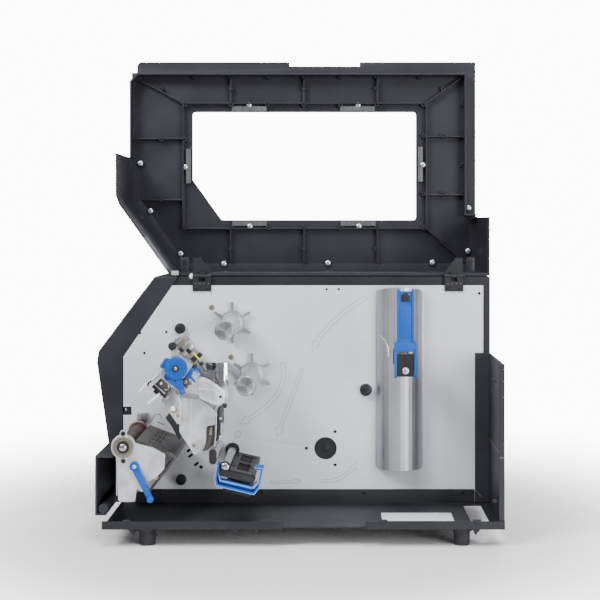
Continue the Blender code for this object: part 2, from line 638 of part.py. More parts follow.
def ribbon_frame(assembly):
    outline = [(-132.5, 177.0), (-110.0, 175.0), (-101.0, 169.0), (-89.0, 157.0), (-92.0, 144.0),
               (-102.4, 143.0), (-103.2, 123.0), (-114.3, 108.5), (-117.7, 108.5), (-135.3, 135.7),
               (-135.3, 150.0)]
    solids = [
        prism(filleted(outline, 4.0, 3), -124.0, -120.0),
        rod((-116.0, 119.0), 4.5, -121.0, MECHANISM, sides=16),
        rod((-101.0, 158.0), 5.0, -121.0, MECHANISM, sides=16),
    ]
    assembly.piece("side_arm_plate", "cast_aluminium", solids)
    blade = [(-153.0, 152.0), (-146.5, 143.0), (-136.5, 125.0), (-133.7, 127.5), (-136.4, 139.0)]
    assembly.piece("peel_blade", "black_steel", [prism(blade, -118.0, MECHANISM)])
    guide = [(-111.0, 210.0), (-83.0, 209.0), (-87.0, 196.0), (-94.0, 192.0), (-111.5, 203.0)]
    solids = [
        prism(guide, -112.0, -110.5),
        block((-86.6, -112.0, 197.0), (-85.0, MECHANISM, 209.05)),
    ]
    assembly.piece("ribbon_guide_plate", "bright_steel", solids)


def ribbon_spindles(assembly):
    for name, centre in (("upper", SPINDLE_UPPER), ("lower", SPINDLE_LOWER)):
        pivot = f"ribbon_spindle_{name}"
        assembly.pivot(pivot, (centre[0], 0.0, centre[1]))
        profile = [(-136.0, 11.2), (-135.2, 12.0), (-12.0, 12.0), (-11.5, 15.6), (-5.0, 15.6), (-5.0, 6.5),
                   (12.0, 6.5)]
        solids = [turned(centre, profile)]
        for number in range(6):
            heading = 30.0 + 60.0 * number
            start = along(centre, heading, 10.0, 0.0)
            tip = along(centre, heading, 25.6, 0.0)
            solids.append(prism(capsule(start, tip, 1.9, sides=4), -10.0, -6.0))
        assembly.piece(pivot, "turned_aluminium", solids, pivot=pivot)


# ---- Media hanger ----------------------------------------------------------------------------
def media_hanger(assembly):
    centre, outer, thickness, steps = (138.3, MECHANISM), 30.2, 1.6, 18
    arc = [(centre[0] + outer * cos(pi * i / steps), centre[1] - outer * sin(pi * i / steps))
           for i in range(steps + 1)]
    sheet = prism(band(arc[::-1], thickness), 71.0, 307.0, "z")
    arch = [(centre[0] + 40 * cos(pi * i / steps), 290.0 + 17 * sin(pi * i / steps)) for i in range(steps + 1)]
    above = prism([(200.0, 290.0), (200.0, 340.0), (70.0, 340.0), (70.0, 290.0)] + arch[::-1][1:-1], -60.0, 20.0)
    x, z = HANGER
    hole = block((x - 10, -60.0, z - 10), (x + 10, -20.0, z + 10))
    assembly.piece("media_back_plate", "bright_steel", [sheet], [above, hole])
    bar = [
        block((x - 7, -123.7, z - 7), (x + 7, MECHANISM, z + 7)),
        block((x - 14, -5.5, z - 16), (x + 14, MECHANISM, z + 16)),
    ]
    assembly.piece("hanger_bar", "black_steel", bar)
    end = block((x - 10, -136.0, 204.0), (x + 10, -124.0, 231.0))
    bore = rod((RETAINER_Y, RETAINER_Z), 2.9, x - 20, x + 20, "x", 16)
    assembly.piece("hanger_end_block", "black_plastic", [end], [bore])
    assembly.pivot("media_retainer", (x, RETAINER_Y, RETAINER_Z))
    near, far = -137.0, -130.5
    notch = block((x - 4.5, -140.0, 296.0), (x + 4.5, -120.0, 303.5))
    solids = [
        block((x - 10.3, near, 235.0), (x + 10.3, far, 307.0)),
        rod((RETAINER_Y, RETAINER_Z), 2.6, x - 11.5, x + 11.5, "x", 16),
    ]
    for side in (-1, 1):
        low, high = sorted((x + side * 10.3, x + side * 13.3))
        solids.append(prism(filleted(rectangle((near, 202.0), (-124.0, 246.0)), 4.0, 2), low, high, "x"))
    solids.append(block((x - 13.0, near, 235.0), (x + 13.0, far, 244.0)))
    assembly.piece("media_retainer", "blue_plastic", solids, [notch], "media_retainer")


# ---- Electronics and drive -------------------------------------------------------------------
def drive(assembly):
    motor = [
        block((MOTOR[0] - 21, 18.0, MOTOR[1] - 21), (MOTOR[0] + 21, 58.0, MOTOR[1] + 21)),
        rod((MOTOR[0] + 16, MOTOR[1] - 16), 3.0, CHASSIS_FAR + GAP, 19.0, sides=12),
        rod((MOTOR[0] + 16, MOTOR[1] + 16), 3.0, CHASSIS_FAR + GAP, 19.0, sides=12),
    ]
    assembly.piece("feed_motor", "black_steel", motor, [rod(MOTOR, 2.9, 10.0, 30.0, sides=16)])
    assembly.pivot("feed_motor", (MOTOR[0], 0.0, MOTOR[1]))
    profile = [(5.0, 8.6), (6.0, 8.6), (6.0, 6.0), (14.0, 6.0), (14.0, 8.6), (15.0, 8.6), (15.0, 2.6), (28.0, 2.6)]
    assembly.piece("motor_pulley", "turned_aluminium", [turned(MOTOR, profile, sides=24)], pivot="feed_motor")
    outer = prism(loop_round(PLATEN, 13.8, MOTOR, 7.8), 6.6, 13.4)
    inner = prism(loop_round(PLATEN, 12.3, MOTOR, 6.3), 0.0, 20.0)
    assembly.piece("drive_belt", "black_plastic", [outer], [inner])


def electronics(assembly):
    board = [block((-70.0, 30.0, 90.0), (200.0, 31.6, 285.0))]
    for x in (-62.0, 192.0):
        for z in (98.0, 277.0):
            board.append(rod((x, z), 3.0, CHASSIS_FAR + GAP, 31.0, sides=10))
    for low, high, rise in (((10.0, 180.0), (45.0, 215.0), 3.0), ((70.0, 200.0), (95.0, 225.0), 2.5),
                            ((120.0, 120.0), (150.0, 170.0), 14.0), ((-40.0, 110.0), (-10.0, 135.0), 10.0),
                            ((-50.0, 240.0), (60.0, 252.0), 12.0), ((170.0, 230.0), (190.0, 270.0), 12.0)):
        board.append(block((low[0], 31.0, low[1]), (high[0], 31.6 + rise, high[1])))
    assembly.piece("main_board", "circuit_board", board)
    base = FLOOR + 2 * SHEET + GAP
    assembly.piece("power_supply", "bright_steel", [block((60.0, 55.0, base), (215.0, 115.0, 84.0))])
    y, z = INLET
    inlet = block((REAR - 22, y - 14.0, z - 12.0), (REAR + 0.6, y + 14.0, z + 12.0))
    socket = block((REAR - 16, y - 11.0, z - 8.5), (REAR + 3, y + 11.0, z + 8.5))
    assembly.piece("power_inlet", "black_plastic", [inlet], [socket])
    y, z = SWITCH
    assembly.pivot("power_switch", (REAR - 4.0, y, z))
    rocker = [(REAR - 7.0, z - 7.5), (REAR - 1.0, z - 8.5), (REAR + 0.8, z - 8.0), (REAR - 0.6, z),
              (REAR + 0.8, z + 8.0), (REAR - 1.0, z + 8.5), (REAR - 7.0, z + 7.5)]
    assembly.piece("power_switch", "black_plastic", [prism(rocker, y - 8.5, y + 8.5)], pivot="power_switch")


def main():
    clear_scene()
    assembly = Assembly()
    assembly.pivot("cover", (0.0, HINGE_Y, HINGE_Z))
    makers = (center_plate, chassis_plate, base_pan, rear_lower_wall, front_bezel, electronics_cover, feet,
              front_lower_cover, latch_socket, hinges, cover_top_frame, cover_side_panel, cover_window,
              platen, platen_side_plate, platen_latch, media_ramp, guide_rollers, sensor_bridge,
              media_guide_slider, print_head, ribbon_frame, ribbon_spindles, media_hanger, drive, electronics)
    for make in makers:
        make(assembly)


main()
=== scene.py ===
import json
from math import atan2, cos, pi, radians, sin

import bmesh
import bpy
from mathutils import Matrix, Vector


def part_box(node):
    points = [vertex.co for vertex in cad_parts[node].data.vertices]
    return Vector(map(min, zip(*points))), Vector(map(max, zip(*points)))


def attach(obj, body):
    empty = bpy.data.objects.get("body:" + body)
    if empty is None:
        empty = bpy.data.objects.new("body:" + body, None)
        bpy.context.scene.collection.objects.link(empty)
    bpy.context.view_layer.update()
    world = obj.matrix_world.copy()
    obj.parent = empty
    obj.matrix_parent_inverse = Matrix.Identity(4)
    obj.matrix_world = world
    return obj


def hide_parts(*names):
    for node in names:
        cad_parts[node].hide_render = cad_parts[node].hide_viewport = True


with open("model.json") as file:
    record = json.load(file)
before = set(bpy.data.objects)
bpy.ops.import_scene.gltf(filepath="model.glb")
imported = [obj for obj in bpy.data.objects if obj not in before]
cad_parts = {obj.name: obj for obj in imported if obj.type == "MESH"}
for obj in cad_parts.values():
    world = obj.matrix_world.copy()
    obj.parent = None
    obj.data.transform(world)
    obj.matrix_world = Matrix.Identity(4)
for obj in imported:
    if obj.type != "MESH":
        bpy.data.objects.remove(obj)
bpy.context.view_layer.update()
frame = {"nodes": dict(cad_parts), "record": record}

MM = 0.001
body_of = {node: body for body, nodes in frame["record"]["behaviour"]["bodies"].items() for node in nodes}
slot_of = {part["node"]: part["material_slot"] for part in frame["record"]["subparts"]}

# Axes across the machine, as (x, z) in millimetres
KNOB = (-138.3, 214.0)
PLATEN = (-202.0, 118.7)
LATCH = (-187.9, 96.1)
RIBBON_ROLLER = (-143.0, 240.5)
GUIDE_ROLLER_FRONT = (-94.2, 101.0)
GUIDE_ROLLER_REAR = (-79.5, 93.5)
SPINDLES = {"upper": (-79.5, 259.8), "lower": (-53.9, 192.6)}
HANGER_SCREW = (139.0, 211.0)

PAN_UNDER = 22.4              # height just above the base pan's underside
PLATE_FACE = -1.9             # just under the painted face of the centre plate
HEAD_SLOPE = -42.4            # heading of the raised print head, in degrees
SHARP_EDGE = 35.0             # edges that turn more than this stay sharp, in degrees
FLAT_SHARP_EDGE = 20.0        # the same for pieces with rounded edges round flat faces
ANY_TURN = 6.28               # screws stop at any angle, in radians


# ---- Node trees ------------------------------------------------------------------------------
class Wire:
    """A node's output that takes arithmetic: each operator adds a Math node."""

    def __init__(self, nodes, socket):
        self.nodes, self.socket = nodes, socket

    def maths(self, operation, *others):
        kind = "ShaderNodeMath"
        return self.nodes.wire(kind, {"operation": operation}, dict(enumerate((self, *others))))

    def __add__(self, other):
        return self.maths("ADD", other)

    def __mul__(self, other):
        return self.maths("MULTIPLY", other)

    def __sub__(self, other):
        return self.maths("SUBTRACT", other)

    def __rsub__(self, other):
        return self.nodes.wire("ShaderNodeMath", {"operation": "SUBTRACT"}, {0: other, 1: self})

    def __truediv__(self, other):
        return self.maths("DIVIDE", other)

    __radd__ = __add__
    __rmul__ = __mul__

    def rise(self, low, high):
        """0 below low, 1 above high and smooth between them."""
        settings = {"interpolation_type": "SMOOTHSTEP"}
        return self.nodes.wire("ShaderNodeMapRange", settings, {0: self, 1: low, 2: high})


class Nodes:
    """Adds nodes to a tree: settings first, then the values or links of the sockets."""

    def __init__(self, tree):
        self.tree = tree

    def add(self, kind, settings=None, inputs=None):
        node = self.tree.nodes.new(kind)
        for name, value in (settings or {}).items():
            setattr(node, name, value)
        for key, value in (inputs or {}).items():
            self.feed(node.inputs[key], value)
        return node

    def feed(self, socket, value):
        if isinstance(value, Wire):
            value = value.socket
        if isinstance(value, bpy.types.NodeSocket):
            self.tree.links.new(value, socket)
        else:
            socket.default_value = value

    def wire(self, kind, settings=None, inputs=None, output=0):
        return Wire(self, self.add(kind, settings, inputs).outputs[output])


class Finish(Nodes):
    """A material on a Principled shader, patterned in the machine's own coordinates."""

    def __init__(self, name, roughness=0.5, metallic=0.0, **constants):
        self.material = bpy.data.materials.new(name)
        self.material.use_nodes = True
        super().__init__(self.material.node_tree)
        self.shader = self.tree.nodes["Principled BSDF"]
        self.place = self.wire("ShaderNodeTexCoord", output="Object")
        self.paint("Roughness", roughness)
        self.paint("Metallic", metallic)
        for key, value in constants.items():
            self.paint(key.replace("_", " "), value)

    def paint(self, socket, value):
        self.feed(self.shader.inputs[socket], value)

    def stretched(self, scale, centre=(0, 0, 0)):
        """The machine's coordinates about a centre, scaled along each axis."""
        moved = self.wire("ShaderNodeVectorMath", {"operation": "SUBTRACT"}, {0: self.place, 1: centre})
        return self.wire("ShaderNodeVectorMath", {"operation": "MULTIPLY"}, {0: moved, 1: scale})

    def noise(self, scale, detail=3.0, place=None, roughness=0.5):
        inputs = {"Vector": place or self.place, "Scale": scale, "Detail": detail, "Roughness": roughness}
        return self.wire("ShaderNodeTexNoise", {}, inputs)

    def mix(self, factor, first, second):
        inputs = {"Factor": factor, 6: colour(first), 7: colour(second)}
        return self.wire("ShaderNodeMix", {"data_type": "RGBA"}, inputs, 2)

    def bump(self, height, distance, strength=1.0):
        inputs = {"Height": height, "Distance": distance, "Strength": strength}
        self.paint("Normal", self.wire("ShaderNodeBump", {}, inputs))


def colour(value):
    return (*value, 1.0) if isinstance(value, tuple) else value


def shade(red, green, blue):
    """A colour given in the 0 to 255 steps of a paint card, made linear."""
    return tuple(((step / 255 + 0.055) / 1.055) ** 2.4 for step in (red, green, blue))


# ---- Finishes --------------------------------------------------------------------------------
def moulded_plastic(name, tint, roughness=0.42, grain=2600.0, depth=0.00012):
    """Textured moulding: a fine spark grain, with faint cloudiness and scuffs."""
    finish = Finish(name, Specular_IOR_Level=0.3)
    grains = finish.noise(grain, 2.0)
    cloud = finish.noise(18.0, 4.0)
    scuff = finish.noise(9.0, 6.0, finish.stretched((1.0, 3.0, 14.0))).rise(0.62, 0.72)
    dark = tuple(step * 0.90 for step in tint)
    light = tuple(step * 1.14 + 0.0015 for step in tint)
    finish.paint("Base Color", finish.mix(cloud.rise(0.3, 0.7), dark, light))
    finish.paint("Roughness", roughness + 0.12 * cloud - 0.05 * scuff)
    finish.bump(grains, depth, 0.35)
    return finish.material


def powder_coat(name, tint, roughness=0.45):
    """Coated sheet steel with a fine orange peel."""
    finish = Finish(name, Specular_IOR_Level=0.35)
    peel = finish.noise(1100.0, 2.0)
    cloud = finish.noise(12.0, 4.0)
    light = tuple(step * 1.25 + 0.001 for step in tint)
    finish.paint("Base Color", finish.mix(cloud.rise(0.35, 0.65), tint, light))
    finish.paint("Roughness", roughness + 0.15 * cloud - 0.05)
    finish.bump(peel, 0.00015, 0.4)
    return finish.material


def satin_paint(name, tint):
    """Pale satin paint with the faint mottling of a sprayed plate."""
    finish = Finish(name, Specular_IOR_Level=0.4)
    cloud = finish.noise(6.0, 5.0)
    fleck = finish.noise(900.0, 2.0)
    dark = tuple(step * 0.93 for step in tint)
    tone = cloud.rise(0.25, 0.75) * 0.7 + fleck.rise(0.4, 0.7) * 0.3
    finish.paint("Base Color", finish.mix(tone, dark, tint))
    finish.paint("Roughness", 0.42 + 0.12 * cloud)
    finish.bump(fleck, 0.00008, 0.3)
    return finish.material


def brushed_metal(name, tint, along, roughness=0.2, wear=0.25):
    """Metal with fine lines along one axis and a few longer scratches."""
    finish = Finish(name, metallic=1.0)
    scales = [420.0, 420.0, 420.0]
    scales["xyz".index(along)] = 5.0
    lines = finish.noise(1.0, 3.0, finish.stretched(tuple(scales)), 0.7)
    smear = finish.noise(26.0, 5.0)
    dark = tuple(step * (1.0 - wear) for step in tint)
    tone = lines.rise(0.3, 0.7) * 0.6 + smear.rise(0.35, 0.65) * 0.4
    finish.paint("Base Color", finish.mix(tone, dark, tint))
    finish.paint("Roughness", roughness + 0.14 * lines + 0.10 * smear - 0.06)
    finish.bump(lines, 0.00006, 0.5)
    return finish.material


def turned_metal(name, tint, centre, painted_sheen=0.0, roughness=0.26):
    """Metal turned on an axis across the machine; faces square to it get painted bright and dark sectors, a
    painted highlight of radial brushing.
    """
    finish = Finish(name, metallic=1.0)
    local = finish.stretched((1.0, 1.0, 1.0), (centre[0] * MM, 0.0, centre[1] * MM))
    parts = finish.add("ShaderNodeSeparateXYZ", {}, {0: local})
    across, depth, height = (Wire(finish, parts.outputs[axis]) for axis in range(3))
    radius = (across * across + height * height).maths("SQRT")
    grooves = finish.wire("ShaderNodeTexNoise", {"noise_dimensions": "2D"}, {
        "Vector": finish.wire("ShaderNodeCombineXYZ", {}, {0: radius * 2200.0, 1: depth * 1500.0}),
        "Scale": 1.0, "Detail": 2.0})
    # painted highlight: bright and dark sectors by angle round the axis, set into the base colour
    angle = height.maths("ARCTAN2", across)
    painted_sheen_fan = ((angle * 2.0 + 1.2).maths("COSINE") * 0.7 + (angle * 5.0).maths("SINE") * 0.3) * 0.5 + 0.5
    smear = finish.noise(30.0, 4.0)
    dark = tuple(step * (0.62 - 0.34 * painted_sheen) for step in tint)
    light = tuple(min(step * 1.12, 1.0) for step in tint)
    cloudy = smear.rise(0.3, 0.7) * (0.5 - 0.35 * painted_sheen)
    tone = cloudy + grooves * 0.3 + painted_sheen_fan * painted_sheen_fan * (0.8 * painted_sheen) + (0.1 - 0.1 * painted_sheen)
    finish.paint("Base Color", finish.mix(tone, dark, light))
    finish.paint("Roughness", roughness + 0.10 * grooves + 0.06 * smear)
    finish.bump(grooves, 0.00005, 0.4)
    return finish.material


def cast_metal(name, tint, roughness=0.42):
    """Die-cast aluminium: a soft grain with brighter rubbed patches."""
    finish = Finish(name, metallic=0.85)
    grain = finish.noise(700.0, 3.0)
    cloud = finish.noise(55.0, 4.0)
    dark = tuple(step * 0.72 for step in tint)
    finish.paint("Base Color", finish.mix(cloud.rise(0.3, 0.65), dark, tint))
    finish.paint("Roughness", roughness + 0.18 * cloud - 0.08)
    finish.bump(grain + cloud * 0.8, 0.00025, 0.45)
    return finish.material


def ground_rubber(name, tint, roughness=0.75):
    """Rubber with the fine marks of grinding."""
    finish = Finish(name, Specular_IOR_Level=0.3)
    grit = finish.noise(1600.0, 2.0)
    cloud = finish.noise(40.0, 4.0)
    light = tuple(step * 1.5 + 0.004 for step in tint)
    finish.paint("Base Color", finish.mix(cloud.rise(0.3, 0.7), tint, light))
    finish.paint("Roughness", roughness - 0.15 * cloud)
    finish.bump(grit, 0.0002, 0.5)
    return finish.material


def clear_sheet(name):
    """A clear polycarbonate pane with faint wiping marks."""
    finish = Finish(name, Specular_IOR_Level=0.5)
    wipe = finish.noise(7.0, 5.0, finish.stretched((1.0, 1.0, 5.0)))
    finish.paint("Base Color", finish.mix(wipe, (0.05, 0.06, 0.07), (0.12, 0.13, 0.14)))
    finish.paint("Roughness", 0.03 + 0.08 * wipe.rise(0.45, 0.75))
    finish.paint("Alpha", 0.012 + 0.012 * wipe.rise(0.5, 0.8))
    return finish.material


def circuit_lacquer(name):
    """Green solder mask with paler tracks that run both ways."""
    finish = Finish(name, roughness=0.4)
    tracks = finish.noise(1.0, 1.0, finish.stretched((40.0, 1.0, 700.0)))
    crossing = finish.noise(1.0, 1.0, finish.stretched((700.0, 1.0, 40.0)))
    lines = tracks.rise(0.55, 0.58) * 0.5 + crossing.rise(0.55, 0.58) * 0.5
    finish.paint("Base Color", finish.mix(lines, shade(14, 74, 44), shade(44, 120, 74)))
    finish.bump(lines, 0.0001, 0.5)
    return finish.material


def dark_glass(name):
    finish = Finish(name, Specular_IOR_Level=0.3)
    haze = finish.noise(14.0, 4.0)
    finish.paint("Base Color", finish.mix(haze, shade(14, 18, 22), shade(24, 30, 36)))
    finish.paint("Roughness", 0.24 + 0.1 * haze)
    return finish.material


def printed_stock(name, tint, faint):
    """Coated paper or ink with a slight tooth."""
    finish = Finish(name, roughness=0.6)
    tooth = finish.noise(500.0, 3.0)
    finish.paint("Base Color", finish.mix(tooth.rise(0.3, 0.7), faint, tint))
    finish.bump(tooth, 0.00005, 0.3)
    return finish.material


finishes = {
    "cover_plastic": moulded_plastic("cover_plastic", shade(36, 36, 43)),
    "black_steel": powder_coat("black_steel", shade(22, 23, 28)),
    "grey_paint": satin_paint("grey_paint", shade(212, 214, 220)),
    "bright_steel": brushed_metal("bright_steel", (0.60, 0.61, 0.63), "z", 0.16, 0.4),
    "turned_aluminium": brushed_metal("turned_aluminium", (0.62, 0.63, 0.65), "y", 0.25),
    "cast_aluminium": cast_metal("cast_aluminium", (0.72, 0.73, 0.75)),
    "bronze": brushed_metal("bronze", (0.42, 0.33, 0.24), "y", 0.35),
    "blue_plastic": moulded_plastic("blue_plastic", (0.0, 0.068, 0.35), 0.42, 1500.0),
    "black_plastic": moulded_plastic("black_plastic", shade(30, 30, 33), 0.4),
    "belt_rubber": ground_rubber("belt_rubber", shade(26, 26, 27)),
    "dark_guide": brushed_metal("dark_guide", (0.13, 0.122, 0.118), "y", 0.42),
    "platen_rubber": ground_rubber("platen_rubber", shade(58, 47, 42), 0.65),
    "foot_rubber": ground_rubber("foot_rubber", shade(36, 36, 40)),
    "clear_pane": clear_sheet("clear_pane"),
    "circuit_board": circuit_lacquer("circuit_board"),
    "display_glass": dark_glass("display_glass"),
    "zinc": brushed_metal("zinc", (0.70, 0.76, 0.82), "x", 0.28),
    "brass": brushed_metal("brass", (0.62, 0.50, 0.27), "y", 0.3),
    "ink": printed_stock("ink", shade(140, 142, 150), shade(160, 162, 169)),
    "paper": printed_stock("paper", shade(226, 228, 232), shade(205, 208, 214)),
    "yellow_plastic": moulded_plastic("yellow_plastic", shade(206, 208, 30), 0.4),
    "satin_steel": brushed_metal("satin_steel", (0.46, 0.475, 0.50), "z", 0.40, 0.14),
    "mirror_steel": brushed_metal("mirror_steel", (0.68, 0.69, 0.71), "z", 0.06, 0.15),
    "nickel": brushed_metal("nickel", (0.58, 0.59, 0.61), "z", 0.28, 0.35),
    "copper": brushed_metal("copper", (0.58, 0.36, 0.26), "y", 0.3),
    # a lighter copy of the blue plastic: a painted highlight for lit edges
    "blue_painted_highlight": moulded_plastic("blue_painted_highlight", shade(90, 150, 225), 0.35, 1500.0),
    "ink_dark": printed_stock("ink_dark", shade(120, 122, 128), shade(96, 98, 104)),
    "foam_strip": ground_rubber("foam_strip", shade(84, 85, 92), 0.8),
    "olive_steel": brushed_metal("olive_steel", (0.33, 0.31, 0.24), "y", 0.4),
    "white_plastic": moulded_plastic("white_plastic", shade(232, 232, 230), 0.4),
}


# ---- Shapes, in millimetres -------------------------------------------------------------------
PLACES = {
    "x": lambda a, b, depth: (depth, a, b),
    "y": lambda a, b, depth: (a, depth, b),
    "z": lambda a, b, depth: (a, b, depth),
}


def circle(centre, radius, sides=24):
    return [(centre[0] + radius * cos(2 * pi * i / sides), centre[1] + radius * sin(2 * pi * i / sides))
            for i in range(sides)]


def along(origin, heading, lengthwise, across=0.0):
    """A point given along and to the left of a heading in degrees."""
    turn = radians(heading)
    return (origin[0] + lengthwise * cos(turn) - across * sin(turn),
            origin[1] + lengthwise * sin(turn) + across * cos(turn))


def capsule(start, end, radius, end_radius=None, sides=10):
    """A bar with round ends, whose two radii may differ."""
    end_radius = radius if end_radius is None else end_radius
    heading = atan2(end[1] - start[1], end[0] - start[0])
    points = []
    for centre, size, first in ((end, end_radius, heading - pi / 2), (start, radius, heading + pi / 2)):
        for i in range(sides):
            angle = first + pi * i / (sides - 1)
            points.append((centre[0] + size * cos(angle), centre[1] + size * sin(angle)))
    return points


def band(path, thickness):
    """A strip of even thickness on the left of a path."""
    inner = []
    for i, point in enumerate(path):
        here = Vector(point)
        sides = []
        if i > 0:
            sides.append((here - Vector(path[i - 1])).normalized())
        if i < len(path) - 1:
            sides.append((Vector(path[i + 1]) - here).normalized())
        normals = [Vector((-side.y, side.x)) for side in sides]
        middle = sum(normals, Vector((0, 0))).normalized()
        offset = middle * (thickness / max(middle.dot(normals[0]), 0.4))
        inner.append((here.x + offset.x, here.y + offset.y))
    return list(path) + inner[::-1]


def prism(outline, low, high, axis="y", edge=0.0):
    """An outline drawn square to an axis and extruded along it, with its edges eased."""
    shape = bmesh.new()
    place = PLACES[axis]
    ends = []
    for depth in (low, high):
        ends.append([shape.verts.new(Vector(place(a, b, depth)) * MM) for a, b in outline])
    shape.faces.new(ends[0])
    shape.faces.new(ends[1][::-1])
    for i in range(len(outline)):
        after = (i + 1) % len(outline)
        shape.faces.new((ends[0][i], ends[1][i], ends[1][after], ends[0][after]))
    bmesh.ops.recalc_face_normals(shape, faces=shape.faces)
    return rounded(shape, edge) if edge else shape


def block(low, high, edge=0.0):
    outline = [(low[0], low[2]), (high[0], low[2]), (high[0], high[2]), (low[0], high[2])]
    return prism(outline, low[1], high[1], edge=edge)


def rod(centre, radius, low, high, axis="y", sides=24, edge=0.0):
    return prism(circle(centre, radius, sides), low, high, axis, edge)


def turned(centre, profile, axis="y", sides=32):
    """A round shape on an axis; the profile gives its radius at places along the axis."""
    shape = bmesh.new()
    place = PLACES[axis]
    rings = []
    for depth, radius in profile:
        ring = [shape.verts.new(Vector(place(a, b, depth)) * MM) for a, b in circle(centre, radius, sides)]
        rings.append(ring)
    for ring, following in zip(rings, rings[1:]):
        for i in range(sides):
            after = (i + 1) % sides
            shape.faces.new((ring[i], following[i], following[after], ring[after]))
    shape.faces.new(rings[0])
    shape.faces.new(rings[-1][::-1])
    bmesh.ops.recalc_face_normals(shape, faces=shape.faces)
    return shape


def domed(centre, radius, base, top, axis="y", steps=5, sides=28):
    """A round head whose crown is domed; base and top are places along the axis."""
    profile = [(base, radius)]
    for i in range(steps + 1):
        angle = pi / 2 * i / steps * 0.93
        profile.append((base + (top - base) * (0.35 + 0.65 * sin(angle)), radius * cos(angle)))
    return turned(centre, profile, axis, sides)


def wire(points, radius, sides=10):
    """A round wire through points in space."""
    shape = bmesh.new()
    places = [Vector(point) for point in points]
    rings = []
    side = None
    for i, here in enumerate(places):
        before, after = places[max(i - 1, 0)], places[min(i + 1, len(places) - 1)]
        heading = (after - before).normalized()
        if side is None:
            side = heading.orthogonal().normalized()
        side = (side - heading * side.dot(heading)).normalized()
        third = heading.cross(side)
        ring = []
        for number in range(sides):
            angle = 2 * pi * number / sides
            ring.append(shape.verts.new((here + (side * cos(angle) + third * sin(angle)) * radius) * MM))
        rings.append(ring)
    for ring, following in zip(rings, rings[1:]):
        for i in range(sides):
            after = (i + 1) % sides
            shape.faces.new((ring[i], following[i], following[after], ring[after]))
    shape.faces.new(rings[0])
    shape.faces.new(rings[-1][::-1])
    bmesh.ops.recalc_face_normals(shape, faces=shape.faces)
    return shape


def coil(start, end, radius, turns, gauge):
    """A coil spring between two points."""
    first, last = Vector(start), Vector(end)
    heading = (last - first).normalized()
    side = heading.orthogonal().normalized()
    third = heading.cross(side)
    steps = int(turns * 14)
    points = []
    for i in range(steps + 1):
        angle = 2 * pi * turns * i / steps
        points.append(first.lerp(last, i / steps) + (side * cos(angle) + third * sin(angle)) * radius)
    return wire(points, gauge, 7)


def joined(*shapes):
    """Several shapes as one."""
    whole = bmesh.new()
    for shape in shapes:
        mesh = bpy.data.meshes.new("part")
        shape.to_mesh(mesh)
        shape.free()
        whole.from_mesh(mesh)
        bpy.data.meshes.remove(mesh)
    return whole


def rounded(shape, width, angle=40.0, segments=2):
    """Rounds the edges that turn more than an angle."""
    edges = [edge for edge in shape.edges
             if len(edge.link_faces) == 2 and edge.calc_face_angle(0.0) > radians(angle)]
    bmesh.ops.bevel(shape, geom=edges, offset=width * MM, offset_type="OFFSET", segments=segments,
                    profile=0.5, affect="EDGES", clamp_overlap=True)
    return shape


def helper(shape, name="helper"):
    mesh = bpy.data.meshes.new(name)
    shape.to_mesh(mesh)
    shape.free()
    made = bpy.data.objects.new(name, mesh)
    bpy.context.scene.collection.objects.link(made)
    return made


def drilled(shape, *cuts):
    """The shape with the cuts taken away from it."""
    base = helper(shape)
    tools = [helper(cut) for cut in cuts]
    for tool in tools:
        modifier = base.modifiers.new("cut", "BOOLEAN")
        modifier.operation = "DIFFERENCE"
        modifier.solver = "EXACT"
        modifier.object = tool
    mesh = bpy.data.meshes.new_from_object(base.evaluated_get(bpy.context.evaluated_depsgraph_get()))
    for made in [base, *tools]:
        bpy.data.objects.remove(made, do_unlink=True)
    result = bmesh.new()
    result.from_mesh(mesh)
    bpy.data.meshes.remove(mesh)
    return result


# ---- Making pieces ----------------------------------------------------------------------------
def finished(name, shape, finish, body="root", slot=None, sharp=SHARP_EDGE):
    """Makes a bmesh or mesh a piece of the machine that rides on a body."""
    mesh = shape
    if isinstance(shape, bmesh.types.BMesh):
        mesh = bpy.data.meshes.new(name)
        shape.to_mesh(mesh)
        shape.free()
    mesh.materials.clear()
    mesh.materials.append(finishes[finish] if isinstance(finish, str) else finish)
    mesh.shade_smooth()
    mesh.set_sharp_from_angle(angle=radians(sharp))
    piece = bpy.data.objects.new(name, mesh)
    bpy.context.scene.collection.objects.link(piece)
    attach(piece, body)
    slot = slot or finish
    return piece


